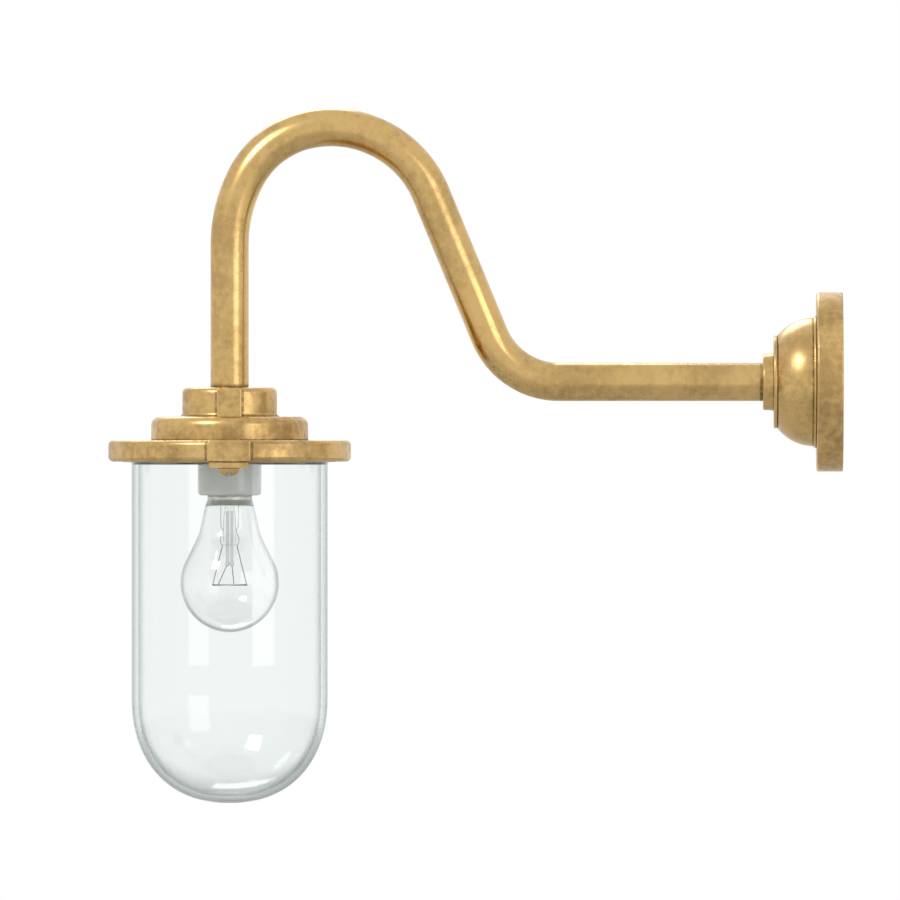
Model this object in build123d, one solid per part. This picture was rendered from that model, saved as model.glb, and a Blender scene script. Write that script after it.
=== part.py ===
from build123d import *
from math import asin, atan2, cos, degrees, hypot, radians, sin, sqrt
import os

# A wall light: a lamp in a deep glass hangs from a swan-neck tube, which stands out from a round
# wall plate. All sizes are in millimetres.
#
# Frame: +Z is up, the wall is the plane Y = 0, and the lamp hangs on the -Y side of it. The
# origin is the centre of the plate's wall face, on the axis of the tube's level run.
# Pieces at the wall are drawn with x to the right, y up and z out from the wall (WALL).
# Pieces on the lamp's axis are drawn with x and y about that axis and the true height z (LAMP).

# ---- Gaps between pieces
FACE_GAP = 0.2  # flat faces of pieces that come apart
SLIP = 0.3  # round faces of pieces that slide or turn with play
SNUG = 0.1  # round faces of pieces that stay together
PIVOT_GAP = 0.08  # the clips on their screws
THREAD_GAP = 0.1  # screws in their threaded holes
CUT = 1.0  # how far a cut runs past the face it opens
FINE_EDGE = 0.4  # rounding of a thin turned edge
EDGE = 0.8  # rounding of a small turned edge
SOFT_EDGE = 1.5  # rounding of a cast or moulded edge

# ---- The arm
TUBE_D = 23.4
TUBE_WALL = 1.6
REACH = 374.0  # wall face to the lamp's axis
HOOK_START = 84.0  # height at which the upright run starts to bend
HOOK_RADII = (88.0, 56.0, 66.0)  # the swan neck's three arcs, from the lamp's side
HOOK_TURNS = (28.3, 49.7, 79.6)  # degrees
LOWER_BEND = 46.0  # radius of the bend into the level run

# ---- The wall plate and its seal
PLATE_D = 109.3
PLATE_THICK = 16.1
WEB_THICK = 4.1
PLATE_CAVITY_D = 80.0
WALL_HOLE_CIRCLE = 93.0
WALL_HOLE_D = 5.2
WALL_HOLE_COUNT = 3
COUNTERSINK_D = 9.6
SEAL_BORE = 100.4
SEAL_WIDTH = 2.4
SEAL_DEPTH = 2.0

# ---- The rose: a spun cover and the collar that holds it
COVER_FOOT_D = 80.7
COVER_FOOT_THICK = 1.8
COVER_ROOT_D = 78.4
COVER_ARC = 27.6
COVER_DEPTH = 23.8
COVER_WALL = 1.5
COLLAR_DISC_D = 56.5
COLLAR_DISC_THICK = 2.2
COLLAR_WALL = 5.55  # neck, round the tube
COLLAR_NECK_LENGTH = 6.5
COLLAR_TAPER = 0.9
SPIGOT_WALL = 1.8
GRUB_D = 4.0
GRUB_SLOT = 0.9

# ---- The arm's foot, inside the rose
FOOT_THICK = 5.0
SOCKET_WALL = 3.4
SOCKET_LENGTH = 16.0
FOOT_SCREW_SPACING = 51.0
FOOT_SCREW_D = 5.0
EAR_D = 15.0

# ---- Wiring
FLEX_D = 7.0
CORE_D = 2.4
CORE_CIRCLE = 3.4  # the three cores lie on this circle inside the flex
CORE_BEND = 3.2
BLOCK_WIDTH = 22.0
BLOCK_HEIGHT = 11.5
BLOCK_DEPTH = 9.5
WAY_SPACING = 13.0
SLEEVE_D = 4.8
SLEEVE_BORE = 2.9
WINDOW_LENGTH = 18.0
WINDOW_HEIGHT = 6.0
EARTH_RADIUS = 24.0  # earth screw from the arm's axis, at the wall
EARTH_SCREW_D = 4.0
TAG_D = 8.0
TAG_THICK = 1.0
TAG_BARREL_D = 3.2
TAG_LENGTH = 9.0
TAG_BARREL_LENGTH = 3.0
EARTH_BOSS = 3.0  # drop of the head's earth boss below the ceiling
EARTH_TURN = 45  # degrees from +X, in the head
EARTH_REACH = 33.0  # from the lamp's axis
FLEX_END_WALL = 11.0  # sheath's end from the tube's wall end
FLEX_END_HEAD = 12.0  # sheath's end above the tube's foot
WAY_SCREW_RISE = 2.0  # clamping screws' heads above their sleeves
CORE_RISE = 3.5  # crossing of the cores above the lampholder's pillars
CORE_ENTRY = 3.0  # cores' ends below the pillars' tops

# ---- The head casting, from the top down
BOSS_TOP = -3.4
BOSS_D = 57.8
BOSS_HEIGHT = 17.7
BOSS_EDGE = 3.5
BOSS_ROOT = 2.4
STEP_D = 95.8
STEP_HEIGHT = 14.6
STEP_EDGE = 5.7
RING_D = 148.0
RING_HEIGHT = 12.9
RING_EDGE = 3.0
RECESS_WALL = 7.0  # ring's edge to the glass recess
RECESS_DEPTH = 9.0
CASTING_WALL = 3.9
CEILING_THICK = 3.5
SLEEVE_WALL = 5.8
SLEEVE_LENGTH = 17.2
RIB_WIDTH = 15.1
RIB_REACH = 5.0
RIB_DROP = 0.3  # below the boss's top
LUG_WIDTH = 26.5
LUG_REACH = 9.0  # past the clip screw's axis
LUG_FOOT = 0.4  # below the ring
LUG_RISE = 0.3  # above the ring
LUG_EDGE = 2.0
HOLLOW_EDGE = 3.0  # rounding at the top of the casting's hollows
SLEEVE_EDGE = 2.0  # rounding round the sleeve's root
NUT_WALL = 3.2  # tube's thread to the nut's flats
NUT_HEIGHT = 4.5
TUBE_TAIL = 1.0  # tube below its nut

# ---- The glass, its gasket and its clips
GLASS_D = 119.7
GLASS_WALL = 4.0
GLASS_DROP = 208.2  # ring's underside to the lowest point
CROWN_HEIGHT = 65.1
CROWN_POWER = 2.256
LIP_REACH = 6.2  # past the glass wall
LIP_THICK = 5.9
LIP_DROP = 0.3  # lip's underside below the ring
GASKET_THICK = 3.0
CLIP_D = 24.3
CLIP_TAIL = 6.5
CLIP_THICK = 3.2
CLIP_SCREW_D = 7.7
CLIP_SCREW_HEAD_D = 14.2
CLIP_SCREW_HEAD = 5.4
SLOT_WIDTH = 2.6
SLOT_DEPTH = 3.0

# ---- The lampholder
HOLDER_D = 39.0
HOLDER_DROP = 20.7  # skirt below the ring's underside
HOLDER_HEIGHT = 32.0
HOLDER_EDGE = 2.4
SHELL_GAP = 0.5  # round the bulb's cap
SHELL_WALL = 0.5
HOLDER_FLOOR = 10.1  # porcelain above the socket
BRACKET_THICK = 1.5
BRACKET_WIDTH = 12.0
POST_SPACING = 64.0
POST_D = 9.0
BRACKET_SCREW_D = 4.0
HOLDER_SCREW_SPACING = 16.0
HOLDER_SCREW_D = 3.5
PILLAR_SPACING = 23.0
PILLAR_WIDTH = 7.0
PILLAR_DEPTH = 8.0
PILLAR_HEIGHT = 11.0
PILLAR_SINK = 6.0
PILLAR_BORE = 2.7
LEAF_WIDTH = 6.0
LEAF_LENGTH = 18.0
LEAF_THICK = 0.6

# ---- The bulb
BULB_D = 60.0
BULB_GLASS = 0.8
BULB_SHOWN = 77.3  # cap's edge to the lowest point
NECK_R = 15.3
NECK_SLOPE = 0.2
NECK_LENGTH = 17.8
NECK_ARC = 29.0
CAP_SHOWN = 6.0  # cap below the lampholder
CAP_LENGTH = 25.6
CAP_D = 26.2
CAP_SKIRT_D = 29.9
CAP_WALL = 0.4
STEM_R = 5.7
STEM_WAIST_R = 4.3
STEM_BULGE_R = 6.0
STEM_LENGTH = 24.5
STEM_WALL = 1.0
INNER_TUBE_TOP_R = 2.7
INNER_TUBE_R = 3.8
INNER_TUBE_WALL = 0.6
ROD_R = 0.85
ROD_GAP = 2.7
ROD_TOP = 3.5  # rods' upper ends below the cap's edge
ROD_DEPTH = 35.7  # rods' buttons below the cap's edge
BUTTON_R = 1.4
WIRE_D = 0.5
LEAD_SPACING = 8.8  # where the lead wires leave the stem's foot
FILAMENT_DEPTH = 48.5  # below the cap's edge
FILAMENT_R = 10.4
LEAD_ANGLES = (-90, 90)  # degrees about the lamp's axis, where the filament ends
SUPPORT_ANGLES = (-42, 15)

# ---- Slotted screws: thread, and head as (across, high)
FOOT_SCREW_HEAD = (8.6, 3.2)
FOOT_SCREW_TAIL = 5.0  # past the web
FOOT_BOSS_LENGTH = 6.0  # behind the web
WAY_SCREW_D = 3.0
WAY_SCREW_HEAD = (3.8, 1.5)
BLOCK_SCREW_D = 3.0
BLOCK_SCREW_HEAD = (5.8, 2.2)
BLOCK_SCREW_SINK = 3.0  # below the block's face
EARTH_SCREW_HEAD = (7.0, 2.6)
EARTH_SCREW_LENGTH = 5.5  # in the head
BRACKET_SCREW_HEAD = (6.8, 2.6)
BRACKET_SCREW_LENGTH = 9.0
HOLDER_SCREW_HEAD = (6.0, 2.2)
HOLDER_SCREW_LENGTH = 8.0
PILLAR_SCREW_D = 2.6
PILLAR_SCREW_HEAD = (3.8, 1.4)

# ---- Worked out from the sizes above
TUBE_R = TUBE_D / 2
TUBE_BORE_R = TUBE_R - TUBE_WALL
WEB_BACK = PLATE_THICK - WEB_THICK
SOCKET_R = TUBE_R + SNUG + SOCKET_WALL
FOOT_TOP = PLATE_THICK + FOOT_THICK
TUBE_WALL_END = FOOT_TOP + SNUG
COVER_BACK = PLATE_THICK + SNUG
COVER_FRONT = PLATE_THICK + COVER_DEPTH
COLLAR_BACK = COVER_FRONT + SNUG
COLLAR_SHOULDER = COLLAR_BACK + COLLAR_DISC_THICK
COLLAR_FRONT = COLLAR_SHOULDER + COLLAR_NECK_LENGTH
COLLAR_BORE_R = TUBE_R + SLIP
COLLAR_NECK_R = COLLAR_BORE_R + COLLAR_WALL
SPIGOT_R = COLLAR_BORE_R + SPIGOT_WALL
CORE_LEVEL = PLATE_THICK + SLEEVE_D / 2 + 0.5
CORE_R = CORE_D / 2

RING_R = RING_D / 2
STEP_TOP = BOSS_TOP - BOSS_HEIGHT
RING_TOP = STEP_TOP - STEP_HEIGHT
RING_FOOT = RING_TOP - RING_HEIGHT
RECESS_R = RING_R - RECESS_WALL
RECESS_TOP = RING_FOOT + RECESS_DEPTH
CAVITY_R = STEP_D / 2 - CASTING_WALL
CEILING = STEP_TOP - CEILING_THICK
CORE_HOLLOW_R = BOSS_D / 2 - CASTING_WALL - 0.5
HEAD_SLEEVE_R = TUBE_R + THREAD_GAP + SLEEVE_WALL
HEAD_SLEEVE_FOOT = BOSS_TOP - SLEEVE_LENGTH
NUT_FOOT = HEAD_SLEEVE_FOOT - NUT_HEIGHT
TUBE_FOOT = NUT_FOOT - TUBE_TAIL
LUG_BOTTOM = RING_FOOT - LUG_FOOT

GLASS_R = GLASS_D / 2
LIP_R = GLASS_R + LIP_REACH
LIP_FOOT = RING_FOOT - LIP_DROP
LIP_TOP = LIP_FOOT + LIP_THICK
GLASS_FOOT = RING_FOOT - GLASS_DROP
CLIP_TOP = LIP_FOOT - FACE_GAP
CLIP_FOOT = CLIP_TOP - CLIP_THICK
CLIP_SCREW_R = CLIP_SCREW_D / 2

HOLDER_FOOT = RING_FOOT - HOLDER_DROP
HOLDER_TOP = HOLDER_FOOT + HOLDER_HEIGHT
BRACKET_TOP = HOLDER_TOP + BRACKET_THICK
SOCKET_TOP = HOLDER_TOP - HOLDER_FLOOR
SHELL_BORE_R = CAP_D / 2 + SHELL_GAP
SHELL_R = SHELL_BORE_R + SHELL_WALL

CAP_EDGE = HOLDER_FOOT - CAP_SHOWN
CAP_TIP = CAP_EDGE + CAP_LENGTH
BULB_R = BULB_D / 2
BULB_CENTRE = CAP_EDGE - BULB_SHOWN + BULB_R
STEM_FOOT = CAP_EDGE - STEM_LENGTH

WALL = Plane((0, 0, 0), x_dir=(1, 0, 0), z_dir=(0, -1, 0)).location
LAMP = Location((0, -REACH, 0))


# ---- Ways of making a piece
def outline(*corners):
    """Flat shape with a corner at each (x, y, rounding)."""
    shape = Sketch() + make_face(Polyline(*[(x, y) for x, y, _ in corners], close=True))
    for x, y, rounding in corners:
        if rounding > 0:
            corner = shape.vertices().sort_by_distance((x, y))[0]
            shape = fillet(corner, rounding)
    return shape


def spun(shape):
    """Solid of revolution about z of a shape drawn with x as the radius and y as the height."""
    return revolve(Plane.XZ * shape, Axis.Z)


def turned(*corners):
    """Turned solid with a corner at each (radius, height, rounding)."""
    return spun(outline(*corners))


def rod(radius, low, high, x=0, y=0):
    """Upright cylinder between two heights."""
    bar = Cylinder(radius, high - low, align=(Align.CENTER, Align.CENTER, Align.MIN))
    return Pos(x, y, low) * bar


def pipe(outer, inner, low, high, x=0, y=0):
    """Upright tube between two heights."""
    return rod(outer, low, high, x, y) - rod(inner, low, high, x, y)


def block(x0, x1, y0, y1, z0, z1):
    """Box between its two corners."""
    return Pos((x0 + x1) / 2, (y0 + y1) / 2, (z0 + z1) / 2) * Box(x1 - x0, y1 - y0, z1 - z0)


def wire(points, bends, radius):
    """Round wire along straight runs, with an arc of the given radius at each corner."""
    route = FilletPolyline(*points, radius=bends)
    return sweep(Plane(route @ 0, z_dir=route % 0) * Circle(radius), route)


def domed_screw(radius, length, head_radius, head, slot_width, slot_depth):
    """Slotted round-head screw: its head stands above z = 0 and its shank hangs below."""
    dome = (head_radius**2 + head**2) / (2 * head)
    sweep_angle = degrees(asin(head_radius / dome))
    top = CenterArc((0, head - dome), dome, 90 - sweep_angle, sweep_angle)
    rest = Polyline((0, head), (0, -length), (radius, -length), (radius, 0), (head_radius, 0))
    screw = spun(make_face([*top.edges(), *rest.edges()]))
    reach = head_radius + 1
    return screw - block(-reach, reach, -slot_width / 2, slot_width / 2, head - slot_depth, head + 1)


def cheese_screw(thread, length, head):
    """Slotted flat-topped screw: its head stands above z = 0 and its shank hangs below."""
    across, high = head
    screw = rod(across / 2, 0, high) + rod(thread / 2, -length, 0)
    slot = high / 3
    return screw - block(-across, across, -slot / 2, slot / 2, high - slot, high + CUT)


def group(solids):
    """Separate solids that share one node."""
    return Compound(children=[solid for piece in solids for solid in piece.solids()])


# ---- The arm
def arm_route(low, wall_end):
    """The tube's axis, from a height on the lamp's axis to a distance from the wall."""
    turn = sum(HOOK_TURNS)
    slope = turn - 90
    segments = [Line((-REACH, low), (-REACH, HOOK_START))]
    for radius, angle in zip(HOOK_RADII, HOOK_TURNS):
        last = segments[-1]
        segments.append(JernArc(last @ 1, last % 1, radius, -angle))
    crest = segments[-1] @ 1
    bend_drop = LOWER_BEND * (1 - cos(radians(slope)))
    run = (crest.Y - bend_drop) / sin(radians(slope))
    segments.append(Line(crest, crest + (segments[-1] % 1) * run))
    segments.append(JernArc(segments[-1] @ 1, segments[-1] % 1, LOWER_BEND, slope))
    segments.append(Line(segments[-1] @ 1, (-wall_end, 0)))
    edges = [Plane.YZ * edge for segment in segments for edge in segment.edges()]
    return Wire(edges)


def arm_tube():
    route = arm_route(TUBE_FOOT, TUBE_WALL_END)
    section = Circle(TUBE_R) - Circle(TUBE_BORE_R)
    return sweep(Plane(route @ 0, z_dir=route % 0) * section, route)


def arm_foot():
    """Oval foot with a socket for the tube, open above and below for the cores."""
    spread = FOOT_SCREW_SPACING / 2
    ears = [Pos(side * spread, 0) * Circle(EAR_D / 2) for side in (-1, 1)]
    plan = make_hull((Circle(SOCKET_R) + ears).edges())
    foot = Pos(0, 0, PLATE_THICK) * extrude(plan, FOOT_THICK)
    foot -= rod(TUBE_BORE_R, PLATE_THICK - CUT, FOOT_TOP + CUT)
    lower = WAY_SPACING / 2 + CORE_R + 0.6
    upper = TAG_BARREL_D / 2 + 0.6
    foot -= block(-lower, lower, -SOCKET_R - CUT, 0, PLATE_THICK - CUT, FOOT_TOP + CUT)
    foot -= block(-upper, upper, 0, SOCKET_R + CUT, PLATE_THICK - CUT, FOOT_TOP + CUT)
    for side in (-1, 1):
        foot -= rod(FOOT_SCREW_D / 2 + SNUG, PLATE_THICK - CUT, FOOT_TOP + CUT, side * spread)
    foot += pipe(SOCKET_R, TUBE_R + SNUG, FOOT_TOP, FOOT_TOP + SOCKET_LENGTH)
    return WALL * foot


def foot_screws():
    length = FOOT_TOP - WEB_BACK + FOOT_SCREW_TAIL
    screw = cheese_screw(FOOT_SCREW_D, length, FOOT_SCREW_HEAD)
    spread = FOOT_SCREW_SPACING / 2
    return WALL * group([Pos(side * spread, 0, FOOT_TOP) * screw for side in (-1, 1)])


# ---- At the wall
def back_plate():
    """Cast plate, hollow behind its web, with bosses for the arm's screws."""
    plate = turned(
        (0, 0, 0),
        (PLATE_D / 2, 0, EDGE),
        (PLATE_D / 2, PLATE_THICK, SOFT_EDGE),
        (0, PLATE_THICK, 0),
    )
    plate -= turned(
        (0, -CUT, 0),
        (PLATE_CAVITY_D / 2, -CUT, 0),
        (PLATE_CAVITY_D / 2, WEB_BACK, SOFT_EDGE),
        (0, WEB_BACK, 0),
    )
    plate -= pipe(SEAL_BORE / 2 + SEAL_WIDTH, SEAL_BORE / 2, -CUT, SEAL_DEPTH)
    spread = FOOT_SCREW_SPACING / 2
    boss_end = WEB_BACK - FOOT_BOSS_LENGTH
    for side in (-1, 1):
        x = side * spread
        plate += rod(EAR_D / 3, boss_end, WEB_BACK, x)
        plate -= rod(FOOT_SCREW_D / 2 + THREAD_GAP, boss_end - CUT, PLATE_THICK + CUT, x)
    for number in range(WALL_HOLE_COUNT):
        angle = radians(90 + number * 360 / WALL_HOLE_COUNT)
        x = WALL_HOLE_CIRCLE / 2 * cos(angle)
        y = WALL_HOLE_CIRCLE / 2 * sin(angle)
        plate -= rod(WALL_HOLE_D / 2, -CUT, PLATE_THICK + CUT, x, y)
        sink = (COUNTERSINK_D - WALL_HOLE_D) / 2
        cone = Cone(WALL_HOLE_D / 2, COUNTERSINK_D / 2, sink)
        plate -= Pos(x, y, PLATE_THICK - sink / 2) * cone
    window = extrude(SlotOverall(WINDOW_LENGTH, WINDOW_HEIGHT), WEB_THICK + 2 * CUT)
    plate -= Pos(0, window_centre(), WEB_BACK - CUT) * window
    tapped = [(BLOCK_SCREW_D, block_centre()), (EARTH_SCREW_D, EARTH_RADIUS)]
    for thread, height in tapped:
        plate -= rod(thread / 2 + THREAD_GAP, WEB_BACK - CUT, PLATE_THICK + CUT, 0, height)
    return WALL * plate


def wall_seal():
    ring = pipe(SEAL_BORE / 2 + SEAL_WIDTH - SNUG, SEAL_BORE / 2 + SNUG, 0, SEAL_DEPTH - SNUG)
    return WALL * ring


def block_centre():
    """Height of the terminal block, close under the arm's foot."""
    return -(SOCKET_R + 1.0 + BLOCK_HEIGHT / 2)


def window_centre():
    """Height of the supply cable's window, close under the terminal block."""
    return block_centre() - BLOCK_HEIGHT / 2 - 1.8 - WINDOW_HEIGHT / 2


def terminal_block():
    """Moulded block with two ways, a screw well over each sleeve's two ends, and a fixing hole."""
    centre = block_centre()
    half = BLOCK_HEIGHT / 2
    front = PLATE_THICK + BLOCK_DEPTH
    plan = Pos(0, centre) * RectangleRounded(BLOCK_WIDTH, BLOCK_HEIGHT, SOFT_EDGE)
    body = Pos(0, 0, PLATE_THICK) * extrude(plan, BLOCK_DEPTH)
    body -= rod(BLOCK_SCREW_D / 2 + SNUG, PLATE_THICK - CUT, front + CUT, 0, centre)
    head = BLOCK_SCREW_HEAD[0] / 2 + SNUG
    body -= rod(head, front - BLOCK_SCREW_SINK, front + CUT, 0, centre)
    well = WAY_SCREW_HEAD[0] / 2 + FACE_GAP
    for side in (-1, 1):
        x = side * WAY_SPACING / 2
        bore = Rot(90, 0, 0) * Cylinder(SLEEVE_D / 2 + SNUG, BLOCK_HEIGHT + 2 * CUT)
        body -= Pos(x, centre, CORE_LEVEL) * bore
        for end in (-1, 1):
            body -= rod(well, CORE_LEVEL, front + CUT, x, centre + end * half / 2)
    return WALL * body


def terminal_sleeves():
    length = BLOCK_HEIGHT - 2 * FACE_GAP
    sleeve = Rot(90, 0, 0) * (Cylinder(SLEEVE_D / 2, length) - Cylinder(SLEEVE_BORE / 2, length))
    sleeves = []
    for side in (-1, 1):
        placed = Pos(side * WAY_SPACING / 2, block_centre(), CORE_LEVEL) * sleeve
        for end in (-1, 1):
            x = side * WAY_SPACING / 2
            y = block_centre() + end * BLOCK_HEIGHT / 4
            tapped = WAY_SCREW_D / 2 + THREAD_GAP
            placed -= rod(tapped, CORE_LEVEL, CORE_LEVEL + SLEEVE_D, x, y)
        sleeves.append(placed)
    return WALL * group(sleeves)


def terminal_screws():
    """Four slotted screws, each pressed on a core's end in its sleeve."""
    tip = CORE_LEVEL + CORE_R + FACE_GAP
    head = CORE_LEVEL + SLEEVE_D / 2 + WAY_SCREW_RISE
    screw = cheese_screw(WAY_SCREW_D, head - tip, WAY_SCREW_HEAD)
    places = [(side, end) for side in (-1, 1) for end in (-1, 1)]
    screws = [
        Pos(side * WAY_SPACING / 2, block_centre() + end * BLOCK_HEIGHT / 4, head) * screw
        for side, end in places
    ]
    return WALL * group(screws)


def block_screw():
    head = PLATE_THICK + BLOCK_DEPTH - BLOCK_SCREW_SINK
    screw = cheese_screw(BLOCK_SCREW_D, head - WEB_BACK, BLOCK_SCREW_HEAD)
    return WALL * Pos(0, block_centre(), head) * screw


def wall_seat(height):
    """Place on the web's face, at a height over the arm's axis."""
    return WALL * Pos(0, height, PLATE_THICK)


# ---- Earth tags and screws: one pair on the web, one under the head's ceiling
def head_seat():
    """Place on the head's earth boss, with the tag's tail towards the lamp's axis."""
    boss = Rot(0, 0, EARTH_TURN) * Pos(EARTH_REACH, 0, CEILING - EARTH_BOSS)
    return LAMP * boss * Rot(180, 0, 0) * Rot(0, 0, -90)


def earth_tag():
    """Ring tag on z = 0, with its barrel on the -y side for the earth core."""
    barrel_r = TAG_BARREL_D / 2
    tail = TAG_LENGTH - TAG_BARREL_LENGTH
    neck = block(-barrel_r, barrel_r, -tail - SNUG, 0, 0, TAG_THICK)
    tag = rod(TAG_D / 2, 0, TAG_THICK) + neck
    tag -= rod(EARTH_SCREW_D / 2 + SNUG, -CUT, TAG_THICK + CUT)
    barrel = Rot(90, 0, 0) * Cylinder(barrel_r, TAG_BARREL_LENGTH)
    return tag + Pos(0, -tail - TAG_BARREL_LENGTH / 2, barrel_r) * barrel


def earth_tags():
    return group([wall_seat(EARTH_RADIUS) * earth_tag(), head_seat() * earth_tag()])


def earth_screws():
    head = Pos(0, 0, TAG_THICK)
    at_wall = head * cheese_screw(EARTH_SCREW_D, TAG_THICK + WEB_THICK, EARTH_SCREW_HEAD)
    in_head = head * cheese_screw(EARTH_SCREW_D, EARTH_SCREW_LENGTH, EARTH_SCREW_HEAD)
    return group([wall_seat(EARTH_RADIUS) * at_wall, head_seat() * in_head])


# ---- The rose
def cover_outline(inset):
    """Outline of the spun cover, with its wall drawn in by the inset."""
    foot = PLATE_THICK + COVER_FOOT_THICK
    centre = COVER_ROOT_D / 2 - COVER_ARC
    radius = COVER_ARC - inset
    front = COVER_FRONT - inset
    rise = degrees(asin((front - foot) / radius))
    dome = CenterArc((centre, foot), radius, 0, rise)
    rest = Polyline(dome @ 1, (0, front), (0, COVER_BACK), (centre + radius, COVER_BACK), dome @ 0)
    return make_face([*dome.edges(), *rest.edges()])


def rose_cover():
    """Spun dome with a thick foot, pierced for the tube."""
    foot = turned(
        (0, COVER_BACK, 0),
        (COVER_FOOT_D / 2, COVER_BACK, FINE_EDGE),
        (COVER_FOOT_D / 2, PLATE_THICK + COVER_FOOT_THICK, EDGE),
        (0, PLATE_THICK + COVER_FOOT_THICK, 0),
    )
    cover = foot + spun(cover_outline(0))
    cover -= spun(cover_outline(COVER_WALL))
    cover -= rod(SPIGOT_R + SNUG, COVER_BACK, COVER_FRONT + CUT)
    return WALL * cover


def rose_collar():
    """Turned collar: a spigot in the cover, a disc on it and a neck round the tube."""
    neck = COLLAR_NECK_R
    collar = turned(
        (COLLAR_BORE_R, COLLAR_BACK - COVER_WALL, 0),
        (SPIGOT_R, COLLAR_BACK - COVER_WALL, 0),
        (SPIGOT_R, COLLAR_BACK, 0),
        (COLLAR_DISC_D / 2, COLLAR_BACK, FINE_EDGE),
        (COLLAR_DISC_D / 2, COLLAR_SHOULDER, EDGE),
        (neck, COLLAR_SHOULDER, 0),
        (neck - COLLAR_TAPER / 2, COLLAR_FRONT, EDGE),
        (COLLAR_BORE_R, COLLAR_FRONT, FINE_EDGE),
    )
    hole = Rot(90, 0, 0) * rod(GRUB_D / 2 + THREAD_GAP, COLLAR_BORE_R - CUT, neck + CUT)
    collar -= Pos(0, 0, grub_level()) * hole
    return WALL * collar


def grub_level():
    """Distance of the collar's grub screw from the wall, half way along the neck."""
    return COLLAR_SHOULDER + COLLAR_NECK_LENGTH / 2


def collar_grub_screw():
    """Slotted grub screw under the neck, bearing on the tube."""
    outer = COLLAR_NECK_R - COLLAR_TAPER
    screw = rod(GRUB_D / 2, TUBE_R + FACE_GAP, outer)
    half = GRUB_SLOT / 2
    screw -= block(-GRUB_D, GRUB_D, -half, half, outer - GRUB_SLOT, outer + CUT)
    return WALL * Pos(0, 0, grub_level()) * Rot(90, 0, 0) * screw


# ---- Wiring
def inner_flex():
    """Sheathed flex along the tube's axis, stripped to its cores near both ends."""
    route = arm_route(TUBE_FOOT + FLEX_END_HEAD, TUBE_WALL_END + FLEX_END_WALL)
    return sweep(Plane(route @ 0, z_dir=route % 0) * Circle(FLEX_D / 2), route)


def core_place(angle):
    """Where a core lies in the flex, at an angle round its axis."""
    return CORE_CIRCLE / 2 * cos(radians(angle)), CORE_CIRCLE / 2 * sin(radians(angle))


def line_core(side):
    """Live (side -1) or neutral (side +1) core: from the flex to its terminal at each end."""
    x, y = core_place(90 + side * -120)
    way = side * WAY_SPACING / 2
    at_wall = wire(
        [
            (x, y, TUBE_WALL_END + FLEX_END_WALL),
            (x, y, CORE_LEVEL),
            (way, -CORE_BEND, CORE_LEVEL),
            (way, block_centre() + BLOCK_HEIGHT / 4, CORE_LEVEL),
        ],
        [CORE_BEND * 0.8, CORE_BEND * 0.8],
        CORE_R,
    )
    pillar = side * PILLAR_SPACING / 2
    pillar_top = HOLDER_TOP - PILLAR_SINK + PILLAR_HEIGHT
    in_head = wire(
        [
            (x, y, TUBE_FOOT + FLEX_END_HEAD),
            (x, y, TUBE_FOOT - CUT),
            (pillar, 0, pillar_top + CORE_RISE),
            (pillar, 0, pillar_top - CORE_ENTRY),
        ],
        [CORE_BEND, CORE_BEND],
        CORE_R,
    )
    return group([WALL * at_wall, LAMP * in_head])


def earth_core():
    """Earth core: from the flex to the tag at each end."""
    x, y = core_place(90)
    level = PLATE_THICK + TAG_BARREL_D / 2
    at_wall = wire(
        [
            (x, y, TUBE_WALL_END + FLEX_END_WALL),
            (x, y, level),
            (x, EARTH_RADIUS - TAG_LENGTH - SNUG, level),
        ],
        [CORE_BEND],
        CORE_R,
    )
    turn = radians(EARTH_TURN)
    reach = EARTH_REACH - TAG_LENGTH - SNUG
    height = CEILING - EARTH_BOSS - TAG_BARREL_D / 2
    in_head = wire(
        [
            (x, y, TUBE_FOOT + FLEX_END_HEAD),
            (x, y, height),
            (reach * cos(turn), reach * sin(turn), height),
        ],
        [CORE_BEND],
        CORE_R,
    )
    return group([WALL * at_wall, LAMP * in_head])


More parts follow.
